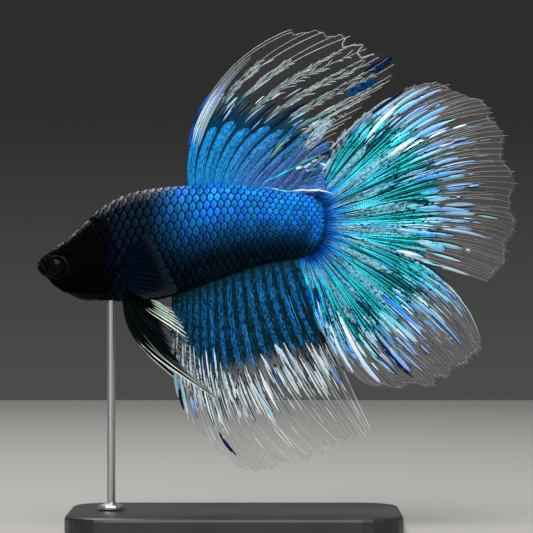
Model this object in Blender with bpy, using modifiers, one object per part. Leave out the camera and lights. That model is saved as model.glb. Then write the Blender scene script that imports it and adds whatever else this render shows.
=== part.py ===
"""A life-size male betta (Siamese fighting fish) of the double-tailed, long-finned kind, on a display stand.

The fish looks towards -X and swims level. Its own measures are in millimetres from the tip of the snout:
x runs back along the body, z runs up, y to its right. The empty "fish" carries them to their place over the stand.
The origin of the world is the middle of the underside of the stand's base.
"""

import math
from typing import NamedTuple

import bmesh
import bpy
from mathutils import Matrix, Vector

MM = 0.001
GAP = 0.3  # clearance between neighbouring solids
SNOUT_HEIGHT = 44.6  # above the surface that the stand rests on
SNOUT_AHEAD = 33.3  # from the middle of the base
FIN_THICKNESS = 0.5

BODY_RINGS = 27
BODY_SIDES = 24
WIDEST_LEVEL = 0.5  # of the body's depth, up from the belly

# Driving sections of the body, snout to tail: x, back, belly, half width.
SECTIONS = (
    (0.0, -0.3, -0.3, 0.0),
    (0.25, 0.7, -1.0, 0.65),
    (1.2, 1.75, -2.0, 1.35),
    (3.0, 2.95, -3.55, 2.15),
    (5.2, 4.5, -5.0, 2.85),
    (7.6, 6.7, -5.85, 3.4),
    (10.2, 9.1, -6.0, 3.85),
    (13.0, 10.9, -6.05, 4.2),
    (16.5, 12.3, -6.35, 4.35),
    (21.0, 13.0, -5.8, 4.2),
    (26.0, 13.4, -4.1, 3.75),
    (31.5, 13.6, -2.1, 3.15),
    (37.0, 13.0, -0.2, 2.45),
    (42.0, 12.2, 0.8, 1.75),
    (46.0, 11.7, 1.5, 1.1),
    (47.9, 10.9, 3.2, 0.8),
    (48.7, 7.6, 7.6, 0.0),
)

# Cuts that part the body: discs seen from the side (x, z, radius), a tilted block and an upright plane.
HEAD_DISC = (5.9, 0.6, 7.6)
GILL_DISC = (10.3, -0.6, 4.1)
GILL_COVER_DEPTH = 1.0
MOUTH_CORNER = (3.4, -2.6)
MOUTH_SLOPE = math.radians(35)  # the mouth rises towards the snout, as in fish that feed at the surface
JAW_BLOCK = (8.0, 8.0, 6.0)
STALK_START = 42.0
CUTTER_REACH = 30.0

EYE_CENTRE = (3.45, 1.97, -0.35)
EYE_RADII = (1.42, 0.8, 1.42)

BASE_SIZE = (56.0, 34.0, 3.3)
BASE_CORNER = 7.0
BASE_EDGE = 0.6
ROD_RADIUS = 0.7
ROD_FOOT_RADIUS = 2.4
ROD_FOOT_HEIGHT = 1.1
ROD_AT = 12.5  # x, under the breast, ahead of the pelvic fins
ROD_TOP = -4.4  # z, inside the belly
ROD_TIP = 0.3


class Ray(NamedTuple):
    """A fin ray seen from the side: its root, its direction there and at its tip in degrees, and its tip."""

    root: tuple
    leave: float
    arrive: float
    tip: tuple


class Fin(NamedTuple):
    """A fin as driving rays from front to back, with the folds that carry it out of its plane.

    rays_in_all: number of bony rays; depth_steps: facets along a ray; notch: how far the web falls short between
    rays; sway: sideways reach of the margin; ruffle, waves, phase: the folds that grow towards the margin;
    stands_out: how far the tips of a paired fin stand out from the flank.
    """

    rays: tuple
    rays_in_all: int
    depth_steps: int
    notch: float
    sway: float
    ruffle: float
    waves: float
    phase: float
    stands_out: float = 0.0


PLEAT = 0.1  # how far a ray stands above the web beside it
BEND_REACH = 0.36  # of a ray's length, how far each end keeps its direction

DORSAL = Fin(
    rays=(
        Ray((25.6, 12.2), 101, 20, (42.6, 39.8)),
        Ray((27.0, 12.4), 95, 22, (48.6, 39.8)),
        Ray((28.5, 12.5), 89, 22, (52.9, 38.5)),
        Ray((30.2, 12.6), 81, 27, (56.6, 36.2)),
        Ray((31.9, 12.6), 73, 33, (59.6, 35.2)),
        Ray((33.6, 12.4), 64, 31, (60.5, 32.2)),
        Ray((35.1, 12.1), 56, 27, (57.2, 29.3)),
        Ray((36.6, 11.9), 48, 23, (53.2, 25.0)),
        Ray((38.0, 11.7), 40, 20, (50.2, 22.6)),
        Ray((39.4, 11.4), 31, 16, (48.6, 19.4)),
        Ray((40.8, 11.2), 20, 10, (47.9, 16.4)),
        Ray((42.2, 11.0), 8, 2, (46.9, 13.2)),
    ),
    rays_in_all=13,
    depth_steps=8,
    notch=0.03,
    sway=-0.9,
    ruffle=0.8,
    waves=2.3,
    phase=0.15,
)
TAIL_UPPER = Fin(
    rays=(
        Ray((46.7, 11.0), 57, 31, (62.8, 30.5)),
        Ray((46.9, 10.7), 49, 17, (68.2, 31.0)),
        Ray((47.1, 10.2), 41, 9, (73.9, 28.8)),
        Ray((47.3, 9.7), 34, 6, (77.6, 25.8)),
        Ray((47.4, 9.1), 24, 1, (79.0, 21.0)),
        Ray((47.5, 8.5), 14, -5, (80.5, 15.7)),
        Ray((47.5, 7.9), 4, -12, (81.2, 10.1)),
        Ray((47.5, 7.3), -5, -21, (80.8, 5.0)),
        Ray((47.4, 6.7), -13, -27, (79.3, 0.5)),
        Ray((47.3, 6.2), -19, -24, (76.6, -3.2)),
    ),
    rays_in_all=13,
    depth_steps=9,
    notch=0.025,
    sway=1.9,
    ruffle=1.0,
    waves=1.7,
    phase=0.0,
)
TAIL_LOWER = Fin(
    rays=(
        Ray((47.1, 5.4), -13, -75, (75.4, -13.3)),
        Ray((46.9, 4.8), -25, -57, (74.3, -15.4)),
        Ray((46.7, 4.2), -34, -48, (72.0, -17.0)),
        Ray((46.4, 3.7), -44, -43, (69.1, -18.9)),
        Ray((46.1, 3.2), -51, -36, (66.6, -20.5)),
        Ray((45.7, 2.8), -58, -32, (62.0, -20.8)),
        Ray((45.3, 2.4), -65, -36, (57.4, -20.9)),
        Ray((44.9, 2.1), -72, -50, (52.7, -18.4)),
    ),
    rays_in_all=11,
    depth_steps=9,
    notch=0.025,
    sway=-1.9,
    ruffle=0.9,
    waves=1.5,
    phase=0.3,
)
ANAL = Fin(
    rays=(
        Ray((22.8, -4.6), -90, -88, (22.7, -17.4)),
        Ray((24.1, -4.0), -91, -76, (24.4, -24.3)),
        Ray((25.6, -3.4), -91, -67, (27.7, -28.7)),
        Ray((27.3, -2.8), -90, -52, (33.8, -34.2)),
        Ray((29.3, -2.1), -90, -41, (38.2, -35.2)),
        Ray((31.5, -1.2), -89, -37, (42.4, -33.5)),
        Ray((33.9, -0.4), -87, -40, (47.1, -32.6)),
        Ray((36.4, 0.4), -84, -45, (50.7, -30.4)),
        Ray((39.0, 1.0), -80, -51, (53.4, -29.7)),
        Ray((41.4, 1.5), -76, -57, (55.4, -28.9)),
        Ray((43.4, 2.0), -72, -64, (56.2, -27.6)),
    ),
    rays_in_all=16,
    depth_steps=8,
    notch=0.025,
    sway=1.1,
    ruffle=0.7,
    waves=2.6,
    phase=0.4,
)
PELVIC = Fin(
    rays=(
        Ray((14.7, -4.9), -97, -37, (31.2, -23.1)),
        Ray((15.4, -4.9), -82, -37, (28.6, -20.0)),
        Ray((16.1, -4.9), -64, -36, (26.2, -13.6)),
        Ray((16.9, -4.8), -46, -28, (24.8, -10.0)),
        Ray((17.8, -4.7), -26, -14, (22.8, -7.2)),
    ),
    rays_in_all=5,
    depth_steps=8,
    notch=0.05,
    sway=0.0,
    ruffle=0.2,
    waves=1.0,
    phase=0.1,
    stands_out=2.2,
)
FAR_PELVIC_TURN = math.radians(5)  # the two pelvic fins hang a little apart
PECTORAL = Fin(
    rays=(
        Ray((14.0, 0.8), 50, 46, (18.7, 5.4)),
        Ray((14.1, 0.0), 26, 8, (20.8, 2.2)),
        Ray((14.2, -0.8), 4, -14, (22.4, -1.0)),
        Ray((14.4, -1.8), -10, -22, (23.7, -3.6)),
        Ray((14.6, -2.8), -20, -16, (23.2, -4.9)),
        Ray((14.8, -3.6), -26, -4, (18.9, -5.6)),
    ),
    rays_in_all=6,
    depth_steps=5,
    notch=0.03,
    sway=0.0,
    ruffle=0.15,
    waves=1.2,
    phase=0.0,
    stands_out=1.6,
)


def blended(rows, share):
    """The row at this share of the way through the rows, on a smooth curve through all of them."""
    place = min(max(share, 0.0), 1.0) * (len(rows) - 1)
    first = min(int(place), len(rows) - 2)
    t = place - first
    before, a, b, after = (rows[min(max(first + k, 0), len(rows) - 1)] for k in (-1, 0, 1, 2))
    return [
        q + 0.5 * t * (r - p + t * (2 * p - 5 * q + 4 * r - s + t * (3 * (q - r) + s - p)))
        for p, q, r, s in zip(before, a, b, after)
    ]


def body_point(share, upwards, sideways, grown):
    """A point of the body's surface, at this share of its length and this direction round it, moved out by grown."""
    x, back, belly, half = blended(SECTIONS, share)
    middle = belly + WIDEST_LEVEL * (back - belly)
    reach = (back if upwards > 0 else 2 * middle - belly) - middle + grown
    along = x + grown * (2 * share - 1) ** 3
    return Vector((along, (half + grown) * sideways, middle + reach * upwards))


def body_section(x, grown):
    """Back, belly and half width of the body at x, moved out by grown. None ahead of the snout and past the tail."""
    low, high = 0.0, 1.0
    if not -grown < x < SECTIONS[-1][0] + grown:
        return None
    for _ in range(30):
        share = (low + high) / 2
        low, high = (share, high) if body_point(share, 1, 0, grown).x < x else (low, share)
    back, belly = body_point(share, 1, 0, grown).z, body_point(share, -1, 0, grown).z
    return back, belly, body_point(share, 0, 1, grown).y


def flank(x, z, grown):
    """How far the body's surface, moved out by grown, stands from the middle plane at x and z. Below 0 outside."""
    section = body_section(x, grown)
    if section is None:
        return -1.0
    back, belly, half = section
    middle = belly + WIDEST_LEVEL * (back - belly)
    upwards = (z - middle) / (back - middle if z > middle else middle - belly)
    return half * math.sqrt(1 - upwards**2) if abs(upwards) < 1 else -1.0


def ray_curve(fin, across, column):
    """Root, the two handles and the tip of the ray at this share of the way across a fin."""
    rows = [(*ray.root, ray.leave, ray.arrive, *ray.tip) for ray in fin.rays]
    root_x, root_z, leave, arrive, tip_x, tip_z = blended(rows, across)
    root, tip = Vector((root_x, root_z)), Vector((tip_x, tip_z))
    tip = tip.lerp(root, fin.notch * (column % 2))
    reach = BEND_REACH * (tip - root).length
    start = Vector((math.cos(math.radians(leave)), math.sin(math.radians(leave)))) * reach
    end = Vector((math.cos(math.radians(arrive)), math.sin(math.radians(arrive)))) * reach
    return root, root + start, tip - end, tip


def fin_point(fin, curve, across, along, column):
    """A point of an unpaired fin's middle surface, or of a paired fin's on the side of +Y."""
    root, start, end, tip = curve
    back = 1 - along
    place = back**3 * root + 3 * back**2 * along * start + 3 * back * along**2 * end + along**3 * tip
    fold = math.sin(2 * math.pi * (fin.waves * across + fin.phase))
    y = fin.sway * along**2 + fin.ruffle * along**1.5 * fold
    y += PLEAT * (1 - 2 * (column % 2)) * math.sin(math.pi * min(along + 0.1, 1.0))
    if fin.stands_out:
        clear = GAP + FIN_THICKNESS / 2 + PLEAT
        y += max(flank(*root, clear), flank(*place, clear), 0.0) + fin.stands_out * along
    return Vector((place.x, y, place.y))


def fin_column(fin, across, column):
    """The points along one ray, from where it leaves the body to its tip."""
    curve = ray_curve(fin, across, column)
    clear = GAP + (FIN_THICKNESS / 2 if fin.stands_out else 0.0)
    low, high = 0.0, 0.5
    for _ in range(16):
        middle = (low + high) / 2
        point = fin_point(fin, curve, across, middle, column)
        inside = abs(point.y) < flank(point.x, point.z, clear)
        low, high = (middle, high) if inside else (low, middle)
    steps = fin.depth_steps
    return [fin_point(fin, curve, across, high + (1 - high) * row / steps, column) for row in range(steps + 1)]


def new_collection(name):
    collection = bpy.data.collections.new(name)
    bpy.context.scene.collection.children.link(collection)
    return collection


def new_object(name, bm, collection, parent=None):
    """A mesh object in metres, from a bmesh in millimetres."""
    bmesh.ops.transform(bm, matrix=Matrix.Scale(MM, 4), verts=bm.verts)
    mesh = bpy.data.meshes.new(name)
    bm.to_mesh(mesh)
    bm.free()
    obj = bpy.data.objects.new(name, mesh)
    obj.parent = parent
    collection.objects.link(obj)
    return obj


def hide(obj):
    obj.hide_render = True
    obj.display_type = "WIRE"
    return obj


def boolean(obj, operation, *others):
    for other in others:
        modifier = obj.modifiers.new(other.name, "BOOLEAN")
        modifier.operation = operation
        modifier.object = other


def paint(obj, colour, roughness, metallic=0.0):
    material = bpy.data.materials.new(obj.name)
    material.use_nodes = True
    shader = material.node_tree.nodes["Principled BSDF"]
    shader.inputs["Base Color"].default_value = (*colour, 1.0)
    shader.inputs["Roughness"].default_value = roughness
    shader.inputs["Metallic"].default_value = metallic
    obj.data.materials.append(material)
    return obj


def smooth(obj, angle=40):
    obj.data.shade_smooth()
    obj.data.set_sharp_from_angle(angle=math.radians(angle))
    return obj


def body_form(grown=0.0):
    """The whole body from snout to tail base as one closed form: a sphere drawn out along the sections."""
    bm = bmesh.new()
    bmesh.ops.create_uvsphere(bm, u_segments=BODY_SIDES, v_segments=BODY_RINGS, radius=1.0)
    for vert in bm.verts:
        ring = math.acos(min(max(vert.co.z, -1.0), 1.0)) / math.pi
        round_axis = Vector((vert.co.x, vert.co.y))
        if round_axis.length > 1e-4:
            round_axis.normalize()
        vert.co = body_point(ring, round_axis.x, round_axis.y, grown)
    return bm


def disc_form(disc, grown=0.0, from_y=-CUTTER_REACH, to_y=CUTTER_REACH):
    """A round cutter across the body, seen as a disc from the side."""
    x, z, radius = disc
    bm = bmesh.new()
    radius += grown
    place = Matrix.Translation((x, (from_y + to_y) / 2, z)) @ Matrix.Rotation(math.radians(90), 4, "X")
    bmesh.ops.create_cone(
        bm, cap_ends=True, segments=36, radius1=radius, radius2=radius, depth=to_y - from_y, matrix=place
    )
    return bm


def block_form(size, centre, turn=0.0):
    """A block cutter, turned about the y axis."""
    bm = bmesh.new()
    place = Matrix.Translation(centre) @ Matrix.Rotation(turn, 4, "Y") @ Matrix.Diagonal((*size, 1.0))
    bmesh.ops.create_cube(bm, size=1.0, matrix=place)
    return bm


def jaw_form(grown=0.0):
    """The block under the mouth line and ahead of the jaw joint."""
    length, width, height = JAW_BLOCK
    forwards = Vector((-math.cos(MOUTH_SLOPE), 0, math.sin(MOUTH_SLOPE)))
    down = Vector((-math.sin(MOUTH_SLOPE), 0, -math.cos(MOUTH_SLOPE)))
    corner = Vector((MOUTH_CORNER[0], 0, MOUTH_CORNER[1])) - grown * (forwards + down)
    centre = corner + forwards * (length + grown) / 2 + down * (height + grown) / 2
    return block_form((length + grown, width, height + grown), centre, MOUTH_SLOPE)


def ellipsoid_form(centre, radii, grown=0.0, segments=12, rings=8):
    bm = bmesh.new()
    scale = Matrix.Diagonal((*(r + grown for r in radii), 1.0))
    place = Matrix.Translation(centre) @ scale @ Matrix.Rotation(math.radians(90), 4, "X")
    bmesh.ops.create_uvsphere(bm, u_segments=segments, v_segments=rings, radius=1.0, matrix=place)
    return bm


def make_body(fish, parts, cutters):
    """The head, jaw, gill covers, trunk and tail stalk: one form, parted by thin cuts."""

    def cutter(name, bm):
        return hide(new_object(name, bm, cutters, fish))

    head_zone = cutter("cut_head", disc_form(HEAD_DISC))
    head_zone_grown = cutter("cut_behind_head", disc_form(HEAD_DISC, GAP))
    jaw_zone = cutter("cut_jaw", jaw_form())
    jaw_zone_grown = cutter("cut_mouth", jaw_form(GAP))
    under_gill = cutter("cut_under_gill", body_form(-GILL_COVER_DEPTH))
    under_bed = cutter("cut_under_bed", body_form(-GILL_COVER_DEPTH - GAP))
    gill_bed = cutter("cut_gill_bed", disc_form(GILL_DISC, GAP))
    boolean(gill_bed, "DIFFERENCE", under_bed)
    stalk_x = STALK_START + CUTTER_REACH / 2
    cut = (CUTTER_REACH, CUTTER_REACH, 2 * CUTTER_REACH)
    stalk_zone = cutter("cut_stalk", block_form(cut, (stalk_x, 0, 0)))
    stalk_zone_grown = cutter("cut_ahead_of_stalk", block_form(cut, (stalk_x - GAP, 0, 0)))
    rod_hole = cutter("cut_rod_hole", rod_hole_form())
    sockets = []

    for side, word in ((-1, "left"), (1, "right")):
        x, y, z = EYE_CENTRE
        centre = (x, side * y, z)
        sockets.append(cutter(f"cut_socket_{word}", ellipsoid_form(centre, EYE_RADII, GAP)))
        eye = new_object(f"eye_{word}", ellipsoid_form(centre, EYE_RADII), parts, fish)
        paint(smooth(eye), (0.01, 0.012, 0.02), 0.08)

        gill = new_object(f"gill_cover_{word}", body_form(), parts, fish)
        reach = (0, CUTTER_REACH) if side > 0 else (-CUTTER_REACH, 0)
        gill_zone = cutter(f"cut_gill_{word}", disc_form(GILL_DISC, 0.0, *reach))
        boolean(gill, "INTERSECT", gill_zone, head_zone)
        boolean(gill, "DIFFERENCE", under_gill)
        paint(smooth(gill), (0.006, 0.009, 0.02), 0.35)

    head = new_object("head", body_form(), parts, fish)
    boolean(head, "INTERSECT", head_zone)
    boolean(head, "DIFFERENCE", jaw_zone_grown, gill_bed, *sockets)
    paint(smooth(head), (0.005, 0.006, 0.01), 0.4)

    jaw = new_object("lower_jaw", body_form(), parts, fish)
    boolean(jaw, "INTERSECT", jaw_zone)
    paint(smooth(jaw), (0.006, 0.007, 0.012), 0.4)

    trunk = new_object("trunk", body_form(), parts, fish)
    boolean(trunk, "DIFFERENCE", head_zone_grown, stalk_zone_grown, rod_hole)
    paint(smooth(trunk), (0.01, 0.1, 0.5), 0.3, 0.5)

    stalk = new_object("tail_stalk", body_form(), parts, fish)
    boolean(stalk, "INTERSECT", stalk_zone)
    paint(smooth(stalk), (0.01, 0.13, 0.5), 0.3, 0.5)


def make_fin(name, fin, fish, parts, colour, side=1.0, turn=0.0):
    """One fin: a grid laid along its rays from the body outwards, then thickened."""
    columns = 2 * fin.rays_in_all
    bm = bmesh.new()
    bmesh.ops.create_grid(bm, x_segments=columns, y_segments=fin.depth_steps, size=1.0)
    lanes = [fin_column(fin, column / columns, column) for column in range(columns + 1)]
    for vert in bm.verts:
        column = round((vert.co.x + 1) / 2 * columns)
        point = lanes[column][round((vert.co.y + 1) / 2 * fin.depth_steps)]
        vert.co = (point.x, side * point.y, point.z)
    if turn:
        hinge = Vector((fin.rays[0].root[0], 0, fin.rays[0].root[1]))
        bmesh.ops.rotate(bm, verts=bm.verts, cent=hinge, matrix=Matrix.Rotation(turn, 3, "Y"))
    obj = new_object(name, bm, parts, fish)
    wall = obj.modifiers.new("thickness", "SOLIDIFY")
    wall.thickness = FIN_THICKNESS * MM
    wall.offset = 0.0
    return paint(smooth(obj, 60), colour, 0.35, 0.3)


def make_fins(fish, parts):
    blue, turquoise, teal, dark = (0.02, 0.22, 0.6), (0.02, 0.42, 0.5), (0.01, 0.14, 0.3), (0.01, 0.015, 0.03)
    make_fin("dorsal_fin", DORSAL, fish, parts, blue)
    make_fin("tail_fin_upper", TAIL_UPPER, fish, parts, turquoise)
    make_fin("tail_fin_lower", TAIL_LOWER, fish, parts, turquoise)
    make_fin("anal_fin", ANAL, fish, parts, teal)
    make_fin("pelvic_fin_left", PELVIC, fish, parts, dark, side=-1.0)
    make_fin("pelvic_fin_right", PELVIC, fish, parts, dark, turn=FAR_PELVIC_TURN)
    make_fin("pectoral_fin_left", PECTORAL, fish, parts, dark, side=-1.0)
    make_fin("pectoral_fin_right", PECTORAL, fish, parts, dark)


def rod_hole_form():
    bm = bmesh.new()
    radius = ROD_RADIUS + GAP
    bmesh.ops.create_cone(bm, cap_ends=True, segments=16, radius1=radius, radius2=radius, depth=CUTTER_REACH)
    place = Matrix.Translation((ROD_AT, 0, ROD_TOP + GAP - CUTTER_REACH / 2))
    bmesh.ops.transform(bm, matrix=place, verts=bm.verts)
    return bm


def make_stand(parts):
    """A flat base with rounded corners and a turned rod with a foot, which enters the belly."""
    length, depth, height = BASE_SIZE
    bm = bmesh.new()
    place = Matrix.Translation((0, 0, height / 2)) @ Matrix.Diagonal((length, depth, height, 1.0))
    bmesh.ops.create_cube(bm, size=1.0, matrix=place)
    upright = [e for e in bm.edges if abs(e.verts[0].co.z - e.verts[1].co.z) > height / 2]
    bmesh.ops.bevel(
        bm, geom=upright, offset=BASE_CORNER, segments=6, affect="EDGES", profile=0.5, material=-1
    )
    base = new_object("stand_base", bm, parts)
    edge = base.modifiers.new("edge", "BEVEL")
    edge.width = BASE_EDGE * MM
    edge.segments = 2
    edge.limit_method = "ANGLE"
    edge.angle_limit = math.radians(40)
    paint(smooth(base, 30), (0.02, 0.02, 0.022), 0.3)

    bottom, top = height + GAP, SNOUT_HEIGHT + ROD_TOP
    neck = bottom + ROD_FOOT_HEIGHT
    profile = (
        (0.0, top),
        (ROD_RADIUS - ROD_TIP, top),
        (ROD_RADIUS, top - ROD_TIP),
        (ROD_RADIUS, neck),
        (ROD_FOOT_RADIUS - ROD_TIP, bottom + ROD_TIP + 0.3),
        (ROD_FOOT_RADIUS, bottom + ROD_TIP),
        (ROD_FOOT_RADIUS, bottom),
        (0.0, bottom),
    )
    bm = bmesh.new()
    corners = [bm.verts.new((radius, 0, z)) for radius, z in profile]
    for start, end in zip(corners, corners[1:]):
        bm.edges.new((start, end))
    rod = new_object("stand_rod", bm, parts)
    rod.location = ((ROD_AT - SNOUT_AHEAD) * MM, 0, 0)
    turned = rod.modifiers.new("turned", "SCREW")
    turned.steps = turned.render_steps = 16
    turned.use_merge_vertices = True
    turned.merge_threshold = 0.00001
    paint(rod, (0.55, 0.56, 0.58), 0.25, 1.0)


def main():
    for obj in list(bpy.data.objects):
        bpy.data.objects.remove(obj)
    parts = new_collection("betta_fish")
    cutters = new_collection("cutters")
    fish = bpy.data.objects.new("fish", None)
    fish.location = (-SNOUT_AHEAD * MM, 0, SNOUT_HEIGHT * MM)
    parts.objects.link(fish)
    make_body(fish, parts, cutters)
    make_fins(fish, parts)
    make_stand(parts)


main()
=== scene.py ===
"""The looks of a life-size betta on its display stand: skin, scales, eyes, fins, stand, camera and light.

Lengths of the fish are in millimetres from the tip of its snout: x runs back along the body, z runs up and
y to its right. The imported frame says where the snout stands. All else comes from the driving values here.
"""

import logging
import math
from dataclasses import dataclass, field
from enum import Enum
from typing import Iterator, Optional, Sequence, Union

import bmesh
import bpy
import numpy as np
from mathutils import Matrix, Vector

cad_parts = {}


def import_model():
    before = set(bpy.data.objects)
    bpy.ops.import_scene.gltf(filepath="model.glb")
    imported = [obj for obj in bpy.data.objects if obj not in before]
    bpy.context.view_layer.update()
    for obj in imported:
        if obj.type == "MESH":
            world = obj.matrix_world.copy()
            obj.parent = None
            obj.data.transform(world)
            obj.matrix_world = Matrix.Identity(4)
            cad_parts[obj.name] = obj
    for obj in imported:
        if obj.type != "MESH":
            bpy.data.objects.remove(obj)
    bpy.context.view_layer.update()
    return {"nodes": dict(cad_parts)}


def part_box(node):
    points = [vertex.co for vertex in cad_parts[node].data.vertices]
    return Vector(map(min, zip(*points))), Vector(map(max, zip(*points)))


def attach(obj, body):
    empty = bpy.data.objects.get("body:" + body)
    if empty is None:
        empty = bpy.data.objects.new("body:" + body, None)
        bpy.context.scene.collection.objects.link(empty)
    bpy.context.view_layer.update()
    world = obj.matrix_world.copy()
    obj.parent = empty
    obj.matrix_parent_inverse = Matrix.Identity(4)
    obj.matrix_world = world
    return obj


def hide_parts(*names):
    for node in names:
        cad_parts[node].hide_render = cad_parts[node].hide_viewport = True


LOG = logging.getLogger("betta")
MM = 0.001
BAKE_MAP = "OFBake"
RAY_MAP = "Rays"
ROOT_BODY = "root"

Array = np.ndarray
Pair = tuple[float, float]
Colour = tuple[float, float, float]
Layers = dict[str, np.ndarray]
Piece = bpy.types.Object
Material = bpy.types.Material
Output = bpy.types.NodeSocket
Socket = Union[float, bpy.types.NodeSocket]
Key = Union[int, str]


# ---------- numbers


def smooth(value: Array, low: float, high: float) -> Array:
    """Smoothstep from 0 at low to 1 at high."""
    t = np.clip((np.asarray(value, float) - low) / (high - low), 0.0, 1.0)
    return t * t * (3 - 2 * t)


def blended(rows: Array, share: Array) -> Array:
    """Rows at these shares of the way through them, on a smooth curve through all of them.

    Args:
        rows: One driving row per line.
        share: Places from 0, the first row, to 1, the last.

    Returns:
        One blended row for each share.
    """
    place = np.clip(share, 0.0, 1.0) * (len(rows) - 1)
    first = np.minimum(place.astype(int), len(rows) - 2)
    t = (place - first)[:, None]
    p, q, r, s = (rows[np.clip(first + k, 0, len(rows) - 1)] for k in (-1, 0, 1, 2))
    return q + 0.5 * t * (r - p + t * (2 * p - 5 * q + 4 * r - s + t * (3 * (q - r) + s - p)))


def bell(value: Array, width: float) -> Array:
    """A bell curve that is 1 where the value is 0 and falls off over this width."""
    return np.exp(-((value / width) ** 2))


def lerp(first: Array, second: Array, share: Array) -> Array:
    """Mixes rows of first and second by a share for each row."""
    share = np.asarray(share, float)[:, None]
    return np.asarray(first, float) * (1 - share) + np.asarray(second, float) * share


@dataclass(frozen=True)
class Place:
    """Where the fish stands in the frame: world position of the tip of its snout, in metres."""

    snout: Vector

    def world(self, points: Array) -> Array:
        """Points of the fish, in millimetres from the snout, as world points in metres."""
        return points * MM + np.array(self.snout)


# ---------- meshes


def link_mesh(mesh: bpy.types.Mesh, uvs: Optional[Layers], attributes: Optional[Layers]) -> Piece:
    """Links a mesh as a piece, with UV maps and attributes that are given for each vertex.

    Args:
        mesh: The mesh.
        uvs: UV maps by name, one pair for each vertex.
        attributes: Floats or colours by name, one for each vertex.

    Returns:
        The piece.
    """
    corner = np.empty(len(mesh.loops), int)
    mesh.loops.foreach_get("vertex_index", corner)
    for key, values in (uvs or {}).items():
        layer = mesh.uv_layers.get(key) or mesh.uv_layers.new(name=key)
        layer.uv.foreach_set("vector", np.asarray(values, np.float32)[corner].ravel())
    for key, values in (attributes or {}).items():
        values = np.asarray(values, np.float32)
        if values.ndim == 1:
            mesh.attributes.new(key, "FLOAT", "POINT").data.foreach_set("value", values)
        else:
            rgba = np.concatenate([values, np.ones((len(values), 1), np.float32)], axis=1)
            mesh.attributes.new(key, "FLOAT_COLOR", "POINT").data.foreach_set("color", rgba.ravel())
    piece = bpy.data.objects.new(mesh.name, mesh)
    bpy.context.scene.collection.objects.link(piece)
    return piece


def mesh_piece(
    name: str, bm: bmesh.types.BMesh, points: Optional[Array] = None, uvs: Optional[Layers] = None,
    attributes: Optional[Layers] = None,
) -> Piece:
    """Makes a piece from a bmesh, which is freed.

    Args:
        name: The piece's name.
        bm: The mesh.
        points: New world positions, one for each vertex.
        uvs: UV maps by name.
        attributes: Floats or colours by name.

    Returns:
        The linked piece.
    """
    mesh = bpy.data.meshes.new(name)
    bm.to_mesh(mesh)
    bm.free()
    if points is not None:
        mesh.vertices.foreach_set("co", np.asarray(points, np.float32).ravel())
    mesh.update()
    mesh.shade_smooth()
    return link_mesh(mesh, uvs, attributes)


def array_piece(
    name: str, points: Array, faces: Array, uvs: Layers, attributes: Layers, rounded: Optional[Array] = None
) -> Piece:
    """Joins arrays of vertices and faces into one piece.

    Args:
        name: The piece's name.
        points: World positions.
        faces: Four vertex numbers for each face, or three and -1.
        uvs: UV maps by name.
        attributes: Floats or colours by name.
        rounded: Which faces are smooth shaded. All are if it isn't given.

    Returns:
        The linked piece.
    """
    mesh = bpy.data.meshes.new(name)
    polygons = [[index for index in face if index >= 0] for face in faces.tolist()]
    mesh.from_pydata(points.tolist(), [], polygons)
    mesh.shade_smooth()
    if rounded is not None:
        mesh.polygons.foreach_set("use_smooth", rounded)
    return link_mesh(mesh, uvs, attributes)


def vertex_points(bm: bmesh.types.BMesh) -> Array:
    """All vertex positions of a bmesh."""
    return np.array([vert.co[:] for vert in bm.verts])


def finish_piece(obj: Piece, material: Material, replaces: Sequence[str] = ()) -> Piece:
    """Gives a piece its material, ties it to the frame and reports it.

    Args:
        obj: The piece.
        material: Its material.
        replaces: CAD nodes that it stands for.

    Returns:
        The piece.
    """
    obj.data.materials.clear()
    obj.data.materials.append(material)
    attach(obj, ROOT_BODY)
    if replaces:
        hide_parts(*replaces)
    LOG.info("%s: %d faces, for %s", obj.name, len(obj.data.polygons), ", ".join(replaces) or "no node")
    return obj


# ---------- shader graphs


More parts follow.
